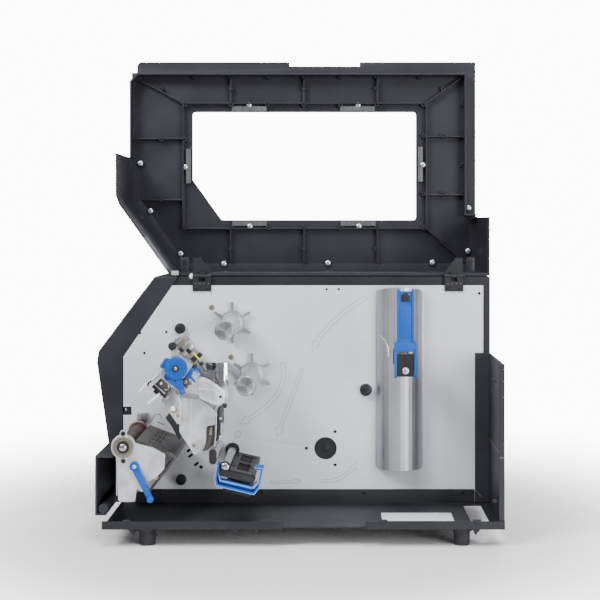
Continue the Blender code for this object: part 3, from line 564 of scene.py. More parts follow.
def repeat_tree():
    """Nodes that put a piece on every point, facing and scaled as the point says."""
    tree = bpy.data.node_groups.new("repeat", "GeometryNodeTree")
    tree.interface.new_socket("Points", in_out="INPUT", socket_type="NodeSocketGeometry")
    for name, kind in (("Piece", "Object"), ("Finish", "Material"), ("Twist", "Float"), ("Seed", "Int")):
        tree.interface.new_socket(name, in_out="INPUT", socket_type="NodeSocket" + kind)
    tree.interface.new_socket("Geometry", in_out="OUTPUT", socket_type="NodeSocketGeometry")
    nodes = Nodes(tree)
    given = nodes.add("NodeGroupInput").outputs
    attribute = "GeometryNodeInputNamedAttribute"
    facing = nodes.wire(attribute, {"data_type": "FLOAT_VECTOR"}, {"Name": "facing"})
    size = nodes.wire(attribute, {"data_type": "FLOAT"}, {"Name": "size"})
    random = nodes.wire("FunctionNodeRandomValue", {"data_type": "FLOAT"},
                        {2: 0.0, 3: given["Twist"], "Seed": given["Seed"]}, 1)
    twist = nodes.wire("ShaderNodeCombineXYZ", {}, {"Y": random})
    turn = nodes.wire("FunctionNodeRotateRotation", {"rotation_space": "LOCAL"}, {
        0: nodes.wire("FunctionNodeEulerToRotation", {}, {0: facing}),
        1: nodes.wire("FunctionNodeEulerToRotation", {}, {0: twist})})
    shape = nodes.add("GeometryNodeObjectInfo", {}, {"Object": given["Piece"]}).outputs["Geometry"]
    copies = nodes.wire("GeometryNodeInstanceOnPoints", {}, {
        "Points": given["Points"], "Instance": shape, "Rotation": turn, "Scale": size})
    solid = nodes.wire("GeometryNodeRealizeInstances", {}, {0: copies})
    painted = nodes.wire("GeometryNodeSetMaterial", {}, {"Geometry": solid, "Material": given["Finish"]})
    nodes.add("NodeGroupOutput", {}, {0: painted})
    return tree


repeat = repeat_tree()


def repeated(name, shape, spots, finish, body, twist=0.0, slot=None):
    """Copies of a shape made facing -Y at the origin, at spots given as place, facing and size."""
    sample = helper(shape, name + "_sample")
    sample.data.shade_smooth()
    sample.data.set_sharp_from_angle(angle=radians(SHARP_EDGE))
    mesh = bpy.data.meshes.new(name)
    mesh.from_pydata([Vector(place) * MM for place, _, _ in spots], [], [])
    mesh.attributes.new("facing", "FLOAT_VECTOR", "POINT")
    mesh.attributes.new("size", "FLOAT", "POINT")
    for i, (_, facing, size) in enumerate(spots):
        mesh.attributes["facing"].data[i].vector = Vector(facing).to_track_quat("-Y", "Z").to_euler()
        mesh.attributes["size"].data[i].value = size
    holder = bpy.data.objects.new(name, mesh)
    bpy.context.scene.collection.objects.link(holder)
    modifier = holder.modifiers.new("repeat", "NODES")
    modifier.node_group = repeat
    given = {"Piece": sample, "Finish": finishes[finish], "Twist": twist, "Seed": 7}
    for item in repeat.interface.items_tree:
        if item.name in given:
            modifier[item.identifier] = given[item.name]
    result = bpy.data.meshes.new_from_object(holder.evaluated_get(bpy.context.evaluated_depsgraph_get()))
    bpy.data.objects.remove(holder, do_unlink=True)
    bpy.data.objects.remove(sample, do_unlink=True)
    for spare in list(result.attributes):
        if spare.name in ("facing", "size"):
            result.attributes.remove(spare)
    return finished(name, result, finish, body, slot)


def facing_near(spots, depth, size=1.0):
    """Spots for pieces that face the open side of the machine."""
    return [((x, depth, z), (0, -1, 0), size) for x, z in spots]


def screw_head(radius=3.4, height=2.2):
    """A domed head with a cross recess; its seat is at the origin."""
    long, wide = radius * 0.55, radius * 0.14
    cross = [block((-long, -height - 1, -wide), (long, -height * 0.45, wide)),
             block((-wide, -height - 1, -long), (wide, -height * 0.45, long))]
    return drilled(domed((0, 0), radius, 0.2, -height), *cross)


def socket_head(radius=3.2, height=3.0):
    """A cylinder head with a hexagon socket."""
    head = rod((0, 0), radius, -height, 0.2, sides=24, edge=0.35)
    return drilled(head, rod((0, 0), radius * 0.5, -height - 1, -height * 0.35, sides=6))


# ---- The machine's own parts ------------------------------------------------------------------
def copied(node):
    """A node's own solid as a bmesh with its doubles merged and its flat faces whole."""
    shape = bmesh.new()
    shape.from_mesh(frame["nodes"][node].data)
    bmesh.ops.remove_doubles(shape, verts=shape.verts, dist=0.000002)
    bmesh.ops.dissolve_limit(shape, angle_limit=radians(0.5), verts=shape.verts, edges=shape.edges)
    return shape


EDGE_ROUNDS = {
    "cover_side_panel": 0.6, "cover_top_frame": 0.5, "front_bezel": 1.2, "electronics_cover": 0.8,
    "base_pan": 0.4, "rear_lower_wall": 0.6, "front_lower_cover": 0.6, "platen_side_plate": 0.7,
    "head_bracket": 0.4, "side_arm_plate": 0.8, "media_retainer": 0.6, "hanger_end_block": 1.5,
    "sensor_bridge": 0.6, "media_guide_slider": 0.4, "pressure_knob": 0.6, "platen_latch_lever": 0.7,
    "display_panel": 0.8, "feed_button": 0.8, "cancel_button": 0.8, "media_ramp": 0.25,
    "center_plate": 0.15, "power_switch": 0.5, "power_inlet": 0.6,
}


def dress_nodes():
    """Rounds the edges of the machine's own parts and gives each its finish."""
    for node, part in frame["nodes"].items():
        slot = slot_of[node]
        finish = finishes[slot]
        if node.startswith("ribbon_spindle"):
            low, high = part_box(node)
            centre = ((low.x + high.x) / 2 / MM, (low.z + high.z) / 2 / MM)
            finish = turned_metal(node + "_metal", (0.55, 0.57, 0.60), centre, 0.0, 0.3)
        if node == "media_back_plate":
            finish = finishes["satin_steel"]
        if node in EDGE_ROUNDS:
            shape = rounded(copied(node), EDGE_ROUNDS[node])
            piece = finished(node + "_finished", shape, finish, body_of[node], slot, FLAT_SHARP_EDGE)
            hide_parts(node)
        else:
            part.data.materials.clear()
            part.data.materials.append(finish)
            part.data.shade_smooth()
            part.data.set_sharp_from_angle(angle=radians(SHARP_EDGE))


# ---- Cover ------------------------------------------------------------------------------------
BOSSES = (
    (-144, 597), (-92.6, 597), (-40.8, 597), (10.9, 597), (62.2, 597), (113.6, 597), (174.9, 597),
    (-92.6, 579.6), (10.9, 579.6), (113.6, 579.6), (-191, 579.6), (207.3, 579.6), (-157, 557),
    (-92.6, 557), (-40.8, 557), (10.9, 557), (62.2, 557), (113.6, 557), (180, 557), (-228, 508),
    (-191, 508), (-158, 508), (-191, 423), (236, 513), (207, 513), (180, 513), (236, 431),
    (207, 431), (180, 431), (236, 557.6), (236, 471.5), (-157, 383), (-92.6, 383), (-39.2, 383),
    (10.9, 383), (62.7, 383), (113.6, 383), (180, 383), (-92.6, 353.4), (10.9, 353.4),
    (113.6, 353.4), (206, 363.4),
)
COVER_SCREWS = ((-220.7, 474), (-206.6, 406.8), (-163.8, 346), (-102.5, 332), (44.9, 333),
                (192.7, 333.6), (243.9, 411), (243.2, 350))
CLIP_SCREWS = ((-66.9, 556.8), (87.4, 556.8), (-157.4, 469.1), (179.5, 471.9), (-65.5, 385.0),
               (88.8, 385.0))


def dress_cover():
    boss = turned((0, 0), [(7.9, 3.9), (0.4, 3.3), (0.0, 2.9), (0.0, 1.5), (3.0, 1.3)], sides=20)
    repeated("cover_bosses", boss, facing_near(BOSSES, 137.0), "cover_plastic", "cover")
    stand = turned((0, 0), [(5.0, 5.6), (0.3, 4.9), (0.0, 4.6)], sides=24)
    repeated("cover_screw_stands", stand, facing_near(COVER_SCREWS, 140.5), "cover_plastic", "cover")
    spots = facing_near(COVER_SCREWS, 140.5)
    repeated("cover_screws", screw_head(4.2, 2.4), spots, "zinc", "cover", ANY_TURN)
    stand = turned((0, 0), [(4.6, 4.4), (0.2, 4.0), (0.0, 3.8)], sides=24)
    repeated("clip_screw_stands", stand, facing_near(CLIP_SCREWS, 140.4), "cover_plastic", "cover")
    spots = facing_near(CLIP_SCREWS, 140.4)
    repeated("clip_screws", screw_head(4.0, 2.2), spots, "zinc", "cover", ANY_TURN)
    for end, low in (("front", -148.5), ("rear", 226.5)):
        plate = block((low, 3.6, 325.5), (low + 11.0, 6.6, 344.5), 0.6)
        finished(f"hinge_bolt_plate_{end}", plate, "black_steel", "cover")
        bolts = facing_near([(low + 5.5, 330.5), (low + 5.5, 339.5)], 3.6)
        repeated(f"hinge_bolts_{end}", socket_head(3.0, 2.0), bolts, "black_steel", "cover")
    finished("hinge_stop", block((-160.0, -1.0, 321.2), (-150.5, 3.3, 327.0), 0.8), "ink", "cover")
    edge = [(-166.3, 328.0), (-196.3, 370.0)]
    finished("cover_edge_strip", prism(band(edge[::-1], 4.6), 1.9, 3.7, edge=0.6), "foam_strip", "cover")
    lip = [(-160.0, 323.2), (254.0, 323.2)]
    finished("cover_lip_seal", prism(band(lip, 1.2), 6.0, 9.0, edge=0.3), "belt_rubber", "cover")


def dress_hinges():
    for end, low, high in (("front", -131.7, -107.3), ("rear", 197.4, 221.8)):
        screws = facing_near([(low + 4.6, 304.6), (high - 4.6, 304.6)], -4.3)
        repeated(f"hinge_leaf_screws_{end}", screw_head(2.3, 1.3), screws, "black_steel", "root", ANY_TURN)
        holes = [((low + 4.0 + 5.5 * number, -4.25, 310.3), (0, -1, 0), 1.0) for number in range(4)]
        rivet = turned((0, 0), [(0.1, 1.5), (-0.5, 1.3), (-0.6, 0.9), (-0.2, 0.5)], sides=16)
        repeated(f"hinge_leaf_rivets_{end}", rivet, holes, "dark_guide", "root")
    finished("hinge_pin_cap", domed((-2.0, 320.0), 3.6, -131.9, -136.6, "x"), "white_plastic")
    finished("hinge_pin_cap_rear", domed((-2.0, 320.0), 3.0, 222.0, 225.4, "x"), "black_plastic")


# ---- Body and base ----------------------------------------------------------------------------
def dress_plate():
    for name, place, radius in (("front_upper", (-147.8, 252.0), 7.0), ("front_lower", (-146.5, 55.0), 6.7),
                                ("middle", (94.5, 172.0), 8.0)):
        profile = [(PLATE_FACE, radius), (-8.4, radius), (-9.4, radius - 0.4), (-10.0, radius - 1.4)]
        cap = turned(place, profile)
        finished(f"plate_bumper_{name}", cap, "black_plastic")
        shape = rod(place, radius + 1.6, -2.6, -1.8, edge=0.2)
        finished(f"plate_bumper_washer_{name}", shape, "grey_paint")
    plugs = facing_near([(-106.9, 279.4), (-81.5, 214.3)], -2.0)
    repeated("plate_plugs", socket_head(3.6, 1.0), plugs, "olive_steel", "root")
    small = facing_near([(-200.6, 245.8), (-195.0, 219.7), (-166.2, 247.1)], PLATE_FACE)
    rivet = turned((0, 0), [(0.1, 1.9), (-0.35, 1.7), (-0.4, 1.2), (0.5, 0.9)], sides=16)
    repeated("plate_rivets", rivet, small, "black_steel", "root")
    finished("fan_hub", rod((41.9, 95.0), 5.0, 0.2, 1.2, edge=0.3), "black_plastic")


def arrow(path, width, head):
    """The outline of a printed arrow that follows a path."""
    half = width / 2
    last, before = Vector(path[-1]), Vector(path[-2])
    heading = (last - before).normalized()
    side = Vector((-heading.y, heading.x))
    neck = tuple(last - heading * head)
    stem = [point for point in path if (Vector(point) - last).length > head + 1.0] + [neck]
    left = band(stem, half)[len(stem):][::-1]
    right = band(stem, -half)[len(stem):][::-1]
    barbs = [tuple(Vector(neck) + side * head * 0.5), tuple(last), tuple(Vector(neck) - side * head * 0.5)]
    return printed(left + barbs + right[::-1] + [left[0]])


def printed(path, width=0.7):
    """A line of ink on the centre plate."""
    strips = []
    for start, end in zip(path, path[1:]):
        strips.append(prism(capsule(start, end, width / 2, sides=5), -2.12, -1.95))
    return joined(*strips)


def curve(start, bend, end, steps=10):
    """Points of a gentle curve that leans towards a bend."""
    first, middle, last = Vector(start), Vector(bend), Vector(end)
    points = []
    for i in range(steps + 1):
        way = i / steps
        points.append(tuple(first.lerp(middle, way).lerp(middle.lerp(last, way), way)))
    return points


ARROWS = (
    ("ribbon_upper", (95.0, 292.5), (42.0, 262.0), (24.5, 222.0), 5.0, 12.0),
    ("ribbon_lower", (11.5, 198.4), (-4.0, 156.0), (-21.8, 110.6), 4.0, 11.0),
    ("label_front", (-15.0, 207.0), (-1.0, 163.0), (-70.0, 127.0), 5.0, 12.0),
    ("label_rear", (37.0, 52.5), (66.0, 50.0), (82.0, 76.0), 4.0, 9.0),
    ("label_path", (-30.5, 50.5), (-15.0, 50.5), (9.5, 52.5), 3.0, 8.0),
)


def dress_print():
    """Plain printed arrows that show how ribbon and labels run."""
    for name, start, bend, end, width, head in ARROWS:
        finished(f"arrow_{name}", arrow(curve(start, bend, end), width, head), "ink")
    loop = [along((-72.5, 113.8), 360.0 * i / 20, 4.0) for i in range(21)]
    finished("ring_mark", printed(loop), "ink")
    finished("ring_mark_tail", printed([(-74.5, 110.0), (-79.0, 103.0)]), "ink")


def dress_base():
    finished("base_label", block((112.0, -110.0, 24.2), (200.0, -65.0, 24.5), 0.05), "paper")
    hump = rounded(block((-5.0, -2.6, -2.0), (5.0, 2.6, 2.6)), 1.6, segments=3)
    humps = [((x, -146.0, 31.5), (0, -1, 0), 1.0) for x in (-195.8, -29.6, 112.0, 223.9)]
    repeated("base_flange_humps", hump, humps, "black_steel", "root")
    for name, x in (("front", -65.0), ("rear", -41.0)):
        outline = [(x - 2.4, PAN_UNDER), (x + 2.4, PAN_UNDER), (x + 1.4, 15.8), (x - 1.4, 15.8)]
        prong = prism(outline, -147.0, -141.0, edge=0.4)
        finished(f"base_prong_{name}", prong, "black_steel")
    for name, x in (("front", -173.7), ("rear", 207.5)):
        for side, hand in ((-1, "left"), (1, "right")):
            outline = [(x + side * 21.0, PAN_UNDER), (x + side * 12.5, PAN_UNDER), (x + side * 14.5, 15.0)]
            wing = prism(outline, -146.0, -112.0, edge=0.3)
            finished(f"foot_wing_{name}_{hand}", wing, "black_steel")
    upstand = facing_near([(-173.0, 38.5), (92.6, 38.5), (-40.0, 38.5), (220.0, 38.5)], -5.0, 0.8)
    repeated("base_screws", screw_head(3.2, 1.5), upstand, "black_steel", "root", ANY_TURN)
    flange = facing_near([(245.0, 200.6), (245.0, 56.0)], -145.2, 0.8)
    repeated("rear_wall_screws", screw_head(3.4, 1.6), flange, "black_steel", "root", ANY_TURN)


# ---- Outside of the body ----------------------------------------------------------------------
def dress_outside():
    """Vents, screws and seams on the sides that face away."""
    slat = rounded(block((-19.0, -0.5, -1.5), (19.0, 0.8, 1.5)), 0.7, segments=2)
    vents = []
    for column in range(3):
        for row in range(9):
            vents.append(((-60.0 + 48.0 * column, 123.0, 205.0 + 8.0 * row), (0, 1, 0), 1.0))
    repeated("side_vent_slots", slat, vents, "belt_rubber", "root")
    slat = rounded(block((-28.0, -0.5, -1.6), (28.0, 0.8, 1.6)), 0.7, segments=2)
    rear = [((257.3, 65.0, 205.0 + 9.0 * row), (1, 0, 0), 1.0) for row in range(8)]
    repeated("rear_vent_slots", slat, rear, "belt_rubber", "root")
    shape = prism(band([(-214.0, 190.0), (252.0, 190.0)], 1.0), 122.4, 123.4, edge=0.2)
    finished("side_cover_groove", shape, "belt_rubber")
    corners = [(-205.0, 36.0), (240.0, 36.0), (240.0, 305.0), (-135.0, 305.0), (20.0, 36.0), (60.0, 305.0)]
    screws = [((x, 123.0, z), (0, 1, 0), 1.0) for x, z in corners]
    repeated("side_cover_screws", screw_head(3.8, 1.8), screws, "black_steel", "root", ANY_TURN)
    rear_screws = [((257.3, y, z), (1, 0, 0), 0.85) for y, z in ((20.0, 34.0), (112.0, 34.0), (20.0, 305.0),
                                                                (112.0, 305.0), (65.0, 190.0))]
    repeated("rear_screws", screw_head(3.8, 1.8), rear_screws, "black_steel", "root", ANY_TURN)


# ---- Mechanism --------------------------------------------------------------------------------
def lobed(centre, radius, depth, count, low, high):
    """A round grip whose edge has a count of lobes."""
    outline = []
    for i in range(count * 4):
        angle = 360.0 * i / (count * 4)
        outline.append(along(centre, angle, radius + depth * (0.5 + 0.5 * cos(2 * pi * i / 4))))
    return prism(outline, low, high, edge=0.25)


def ring(centre, outer, inner, low, high, edge=0.25):
    """A flat ring whose outer edge is eased."""
    whole = rod(centre, outer, low, high, sides=40, edge=edge)
    return drilled(whole, rod(centre, inner, low - 5, high + 5, sides=32))


def dress_knob():
    knob = "pressure_knob"
    finished("knob_grip", lobed(KNOB, 13.3, 0.9, 26, -137.2, -132.4), "blue_plastic", knob)
    bars = []
    for number in range(10):
        angle = 36.0 * number + 10.0
        outline = capsule(along(KNOB, angle, 6.2), along(KNOB, angle, 10.6), 0.8)
        bars.append(prism(outline, -138.7, -137.8, edge=0.2))
    finished("knob_face_bars", joined(*bars), "blue_plastic", knob)
    finished("knob_face_ring", ring(KNOB, 5.4, 4.2, -138.9, -137.9), "blue_plastic", knob)
    finished("knob_bush", ring(KNOB, 4.1, 2.5, -138.6, -137.9), "black_plastic", knob)
    finished("knob_shaft_end", domed(KNOB, 2.3, -137.9, -139.6), "brass", knob)
    ear = prism(capsule((-154.4, 216.4), (-149.6, 223.4), 3.1), -134.6, -132.0, edge=0.6)
    finished("knob_stop_ear", ear, "blue_plastic", knob)
    lobe = prism(capsule((-142.0, 206.0), (-147.6, 203.8), 6.0, 5.4), -135.4, -132.2, edge=0.7)
    finished("knob_lobe", drilled(lobe, rod((-147.6, 203.8), 2.7, -140.0, -130.0)), "blue_plastic", knob)
    finished("knob_lobe_ring", ring((-147.6, 203.8), 3.6, 2.6, -135.9, -135.0), "black_plastic", knob)
    bridge = prism(capsule((-147.0, 200.5), (-133.0, 190.0), 3.0, 3.4), -134.8, -132.2, edge=0.6)
    finished("knob_bridge", bridge, "blue_plastic", knob)
    grip = prism(capsule((-136.0, 203.5), (-131.6, 188.4), 1.3, 0.9), -136.9, -135.8, edge=0.3)
    finished("knob_lever_rib", grip, "blue_plastic", knob)
    finished("knob_lever_tip", domed((-130.7, 185.6), 3.6, -135.0, -138.4), "blue_plastic", knob)


def lug(spot, heading, long, wide, near, far, edge=0.5):
    """A small block set at a heading, centred on a spot."""
    signs = ((-1, -1), (1, -1), (1, 1), (-1, 1))
    corners = [along(spot, heading, x * long / 2, z * wide / 2) for x, z in signs]
    return prism(corners, near, far, edge=edge)


def dress_head():
    head = "print_head"
    lip = prism(band([(-118.1, 218.1), (-135.1, 233.6)], 1.5), -131.4, -100.0, edge=0.3)
    finished("head_lip_upper", lip, "nickel", head)
    lip = prism(band([(-135.1, 233.6), (-166.8, 198.9)], 1.4), -132.0, -112.0, edge=0.3)
    finished("head_lip_rear", lip, "nickel", head)
    housing = lug((-154.6, 191.4), HEAD_SLOPE, 18.5, 13.5, -131.4, -112.0, 1.2)
    finished("head_housing", housing, "black_plastic", head)
    trim = lug((-158.4, 189.0), HEAD_SLOPE, 18.0, 1.6, -132.0, -118.0, 0.3)
    finished("head_housing_trim", trim, "nickel", head)
    face = lug((-152.6, 193.0), HEAD_SLOPE, 13.5, 8.4, -131.9, -131.0, 0.6)
    finished("head_housing_face", face, "dark_guide", head)
    finished("head_housing_screw", domed((-156.4, 195.4), 1.7, -131.5, -133.0), "zinc", head)
    clip = [along((-150.2, 190.6), angle, 3.1) for angle in range(-130, 60, 15)]
    finished("head_clip", wire([(x, -132.2, z) for x, z in clip], 0.65), "bright_steel", head)
    foot = prism(capsule((-160.5, 186.2), (-152.0, 178.5), 0.9), -130.0, -112.0, edge=0.2)
    finished("head_housing_foot", foot, "black_plastic", head)
    hook = [(-168.5, -128, 198.0), (-172.0, -128, 196.0), (-173.0, -128, 192.0)]
    finished("head_housing_hook", wire(hook, 1.1), "black_plastic", head)
    arm = [(-184.0, -124.0, 184.0), (-175.5, -125.0, 194.5), (-168.0, -126.0, 199.0),
           (-160.0, -127.0, 206.0)]
    finished("spring_arm_upper", wire(arm, 1.4), "white_plastic", head)
    arm = [(-173.5, -124.0, 170.0), (-158.0, -125.0, 183.0), (-155.0, -126.0, 189.0)]
    finished("spring_arm_lower", wire(arm, 1.4), "white_plastic", head)
    outline = [(-140.5, 239.5), (-129.5, 251.0), (-124.5, 246.4), (-135.5, 234.8)]
    strip = prism(outline, -129.0, -100.0, edge=0.3)
    finished("ribbon_strip_plate", strip, "olive_steel", head)
    cap = prism(band([(-144.5, 243.0), (-133.5, 254.6)], -3.6), -131.0, -106.0, edge=0.5)
    finished("ribbon_strip_edge", cap, "nickel", head)
    saddle = [(-133.5, 236.5), (-124.0, 246.6), (-117.8, 242.0), (-118.6, 236.6), (-127.0, 229.8)]
    finished("ribbon_saddle", prism(saddle, -130.5, -117.0, edge=0.8), "nickel", head)
    shape = domed(RIBBON_ROLLER, 5.0, -131.4, -134.2)
    finished("ribbon_roller_end", shape, "black_plastic", "ribbon_roller")
    lugs = (((-132.0, 235.4), 6.0, 4.0), ((-123.2, 234.4), 6.5, 4.6), ((-110.4, 229.2), 5.6, 4.6),
            ((-116.6, 215.4), 5.2, 4.4), ((-117.4, 224.4), 6.4, 3.4), ((-108.2, 218.4), 4.4, 4.0))
    for number, (spot, long, wide) in enumerate(lugs, 1):
        finished(f"head_lug_{number}", lug(spot, -45.0, long, wide, -131.6, -118.0), "black_plastic", head)
    strip = prism(band([(-119.0, 231.8), (-109.6, 222.4)], 2.2), -131.3, -129.0, edge=0.4)
    finished("head_yellow_strip", strip, "yellow_plastic", head)
    shape = coil((-125.5, -124.0, 226.5), (-108.5, -124.0, 209.5), 2.3, 11, 0.5)
    finished("head_spring", shape, "bright_steel", head)
    shape = wire([(-127.5, -124.0, 228.5), (-106.5, -124.0, 207.5)], 1.1)
    finished("head_spring_rod", shape, "brass", head)
    shape = wire([(-116.5, -127.0, 229.0), (-103.5, -127.0, 211.0)], 1.6)
    finished("head_cross_bar", shape, "bright_steel", head)
    band_shape = prism(capsule((-124.8, 202.6), (-118.4, 211.6), 2.9), -131.6, -124.0, edge=0.5)
    finished("head_blue_link", band_shape, "blue_plastic", head)
    shape = prism(band([(-115.2, 214.2), (-108.6, 205.2)], 1.9), -132.0, -126.0, edge=0.3)
    finished("head_blue_strip", shape, "blue_plastic", head)
    shape = prism(capsule((-121.0, 203.0), (-115.6, 197.6), 1.7, 1.2), -131.8, -128.0, edge=0.4)
    finished("head_blue_tail", shape, "blue_plastic", head)
    shape = lug((-126.4, 196.6), -52.0, 12.5, 10.0, -131.7, -126.0, 1.0)
    finished("head_cam_box", shape, "dark_guide", head)
    finished("head_cam_hub", rod((-127.4, 197.4), 2.6, -132.0, -128.0, edge=0.4), "bronze", head)
    loop = [along((-114.8, 205.4), angle, 4.4) for angle in range(-60, 200, 20)]
    finished("head_hook_spring", wire([(x, -131.9, z) for x, z in loop], 0.55), "bright_steel", head)
    for number, spot in enumerate(((-122.4, 192.2), (-118.6, 196.6), (-120.0, 188.0)), 1):
        finished(f"head_pin_{number}", domed(spot, 1.3, -131.2, -132.2), "zinc", head)
    dress_pressure_arm(head)


def dress_pressure_arm(head):
    """The ribbed casting that turns about the head's shaft."""
    outline = [(-110.5, 199.0), (-105.5, 203.2), (-96.7, 199.4), (-79.0, 186.6), (-79.8, 173.0),
               (-85.0, 168.4), (-92.0, 169.8), (-102.0, 174.2), (-109.9, 178.0), (-112.0, 188.0)]
    plate = prism(outline, -133.4, -130.8, edge=0.6)
    hollow = prism([(-104.5, 188.5), (-97.0, 187.5), (-101.0, 180.0), (-106.5, 181.5)], -134.0, -131.9)
    finished("pressure_arm", drilled(plate, hollow), "cast_aluminium", head)
    ridges = [
        prism(band([(-82.0, 186.0), (-97.4, 197.0), (-106.6, 201.4)], 1.5), -135.2, -131.0, edge=0.4),
        prism(band([(-100.6, 175.6), (-93.4, 187.4)], 1.5), -134.8, -131.0, edge=0.4),
        prism(band([(-93.6, 188.6), (-111.0, 189.6)], 1.6), -135.0, -131.0, edge=0.4),
        prism(band([(-81.6, 173.4), (-80.8, 185.2)], 1.2), -134.6, -131.0, edge=0.3),
    ]
    for number, ridge in enumerate(ridges, 1):
        finished(f"pressure_arm_ridge_{number}", ridge, "cast_aluminium", head)
    finished("pressure_arm_screw", screw_at((-95.8, 171.9), -133.4, 1.6, 1.1), "zinc", head)
    finished("pressure_arm_pin", domed((-84.6, 179.6), 1.7, -133.2, -134.6), "black_steel", head)
    finished("pressure_arm_clip", lug((-79.6, 167.6), 0.0, 3.8, 4.4, -131.0, -118.0), "black_plastic")


def screw_at(place, seat, radius=3.0, height=1.6, turn=0.4):
    """A cross head screw on its own, facing the open side."""
    head = screw_head(radius, height)
    matrix = Matrix.Translation(Vector((place[0], seat, place[1])) * MM) @ Matrix.Rotation(turn, 4, "Y")
    bmesh.ops.transform(head, matrix=matrix, verts=head.verts)
    return head


def dress_ribbon_frame():
    link = [(-153.6, 186.0), (-147.0, 191.0), (-138.5, 188.4), (-132.6, 172.0), (-133.6, 146.0),
            (-137.4, 145.4), (-156.5, 173.0)]
    finished("frame_link", prism(link, -127.2, -124.6, edge=0.6), "nickel", "print_head")
    finished("frame_link_screw", domed((-142.6, 164.4), 2.9, -127.2, -128.2), "white_plastic", "print_head")
    finished("frame_link_washer", ring((-141.2, 162.4), 4.0, 2.0, -127.6, -127.0), "bronze", "print_head")
    finished("frame_link_rivet", domed((-150.4, 177.6), 2.2, -127.0, -127.8), "nickel", "print_head")
    finished("frame_link_pin", domed((-136.4, 155.6), 2.4, -127.1, -128.0), "bronze", "print_head")
    shape = prism(capsule((-122.0, 175.0), (-122.0, 133.0), 0.8), -124.45, -123.8, edge=0.3)
    finished("side_arm_fold", shape, "cast_aluminium")
    finished("side_arm_screw", screw_at((-117.5, 119.4), -124.0, 2.7, 1.2), "olive_steel")
    edge = prism(band([(-91.2, 156.0), (-91.6, 134.0), (-93.4, 115.0)], 1.5), -126.0, -70.0, edge=0.3)
    finished("side_arm_edge", edge, "nickel")
    backing = [(-104.0, 146.0), (-92.8, 146.0), (-92.8, 121.0), (-101.0, 113.0), (-108.0, 110.0),
               (-103.4, 122.0)]
    finished("side_arm_backing", prism(backing, -118.0, -115.0, edge=0.5), "dark_guide")
    finished("side_arm_tab", lug((-97.6, 135.6), 86.0, 9.0, 3.0, -119.4, -117.0, 0.3), "bronze")
    stem = prism(band([(-86.4, 163.0), (-86.0, 140.0), (-88.8, 124.0)], -3.4), -124.0, -60.0, edge=0.4)
    finished("ribbon_path_stem", stem, "black_plastic")
    shine = prism(band([(-83.4, 146.0), (-83.0, 134.0)], -2.2), -124.6, -110.0, edge=0.4)
    finished("ribbon_path_shine", shine, "nickel")
    shape = prism(capsule((-94.0, 111.6), (-94.0, 102.0), 4.5), -133.2, -130.3, edge=0.7)
    finished("roller_end_plate", shape, "black_plastic")
    for number, (x, z) in enumerate(((-85.0, 152.0), (-85.6, 129.5)), 1):
        finished(f"ribbon_path_pin_{number}", domed((x, z), 1.5, -123.8, -125.4), "zinc")
    bow = [(-105.0 + 2.0 * i, -113.5 + 7.0 * ((i - 9.5) / 7.5) ** 2) for i in range(15)]
    sheet = prism(band(bow, 0.9), 176.0, 218.4, "z", edge=0.15)
    finished("ribbon_guide_sheet", sheet, "mirror_steel")


def dress_platen():
    ears = prism(capsule((-202.0, 135.0), (-202.0, 102.0), 4.4), -133.8, -132.6, edge=0.4)
    finished("bearing_ears", drilled(ears, rod(PLATEN, 7.7, -140.0, -125.0)), "cast_aluminium")
    flange = turned(PLATEN, [(-133.0, 12.7), (-135.0, 12.7), (-135.7, 12.0), (-135.9, 10.2), (-135.3, 9.7),
                             (-135.2, 8.6), (-134.4, 8.4)], sides=48)
    finished("bearing_flange", drilled(flange, rod(PLATEN, 7.5, -140.0, -125.0, sides=40)), "olive_steel")
    finished("bearing_seal", ring(PLATEN, 7.5, 4.8, -136.3, -134.0), "black_steel")
    end = drilled(domed(PLATEN, 4.5, -136.6, -139.0), rod(PLATEN, 1.2, -141.0, -138.2, sides=16))
    finished("platen_shaft_end", end, "bright_steel", "platen")
    for name, z in (("upper", 135.0), ("lower", 102.0)):
        finished(f"bearing_screw_{name}", screw_at((-202.0, z), -133.8, 2.9, 1.6), "black_steel")
    rim = turned(PLATEN, [(-4.3, 13.0), (-8.0, 13.0), (-8.8, 12.3), (-8.8, 11.0)], sides=40)
    finished("bearing_rim_far", drilled(rim, rod(PLATEN, 10.6, -12.0, 0.0, sides=40)), "copper")
    spine = prism(capsule((-186.2, 90.0), (-170.6, 60.4), 1.5, 0.9), -139.5, -138.2, edge=0.4)
    finished("latch_spine", spine, "blue_plastic", "platen_latch")
    finished("latch_hub_ring", ring(LATCH, 4.9, 3.2, -140.1, -139.2), "blue_plastic", "platen_latch")
    finished("latch_tip", domed((-168.7, 56.5), 3.8, -141.2, -142.3), "blue_plastic", "platen_latch")
    finished("latch_screw", screw_at(LATCH, -140.4, 2.5, 1.0), "zinc")
    finished("front_edge_strip", block((-213.2, -118.0, 57.0), (-211.4, -60.0, 103.0), 0.4), "nickel")
    finished("side_plate_disc_upper", rod((-166.6, 82.4), 6.2, -126.8, -122.0, edge=0.6), "olive_steel")
    finished("side_plate_disc_lower", rod((-180.6, 68.6), 5.2, -126.9, -122.0, edge=0.6), "cast_aluminium")
    finished("ramp_bracket", block((-204.0, -8.0, 132.0), (-190.0, -2.2, 142.0), 0.4), "nickel")
    spring = [(-190.5, -12.0, 128.0), (-184.0, -12.0, 133.0), (-180.0, -12.0, 140.5), (-173.0, -12.0, 141.0),
              (-171.0, -12.0, 136.0), (-176.5, -12.0, 131.0), (-168.0, -12.0, 127.5)]
    finished("ramp_spring", wire(spring, 0.7), "bright_steel")
    for number, (x, z) in enumerate(((-157.0, 88.6), (-168.6, 114.2)), 1):
        finished(f"side_plate_pin_{number}", domed((x, z), 1.5, -132.6, -134.0), "zinc")


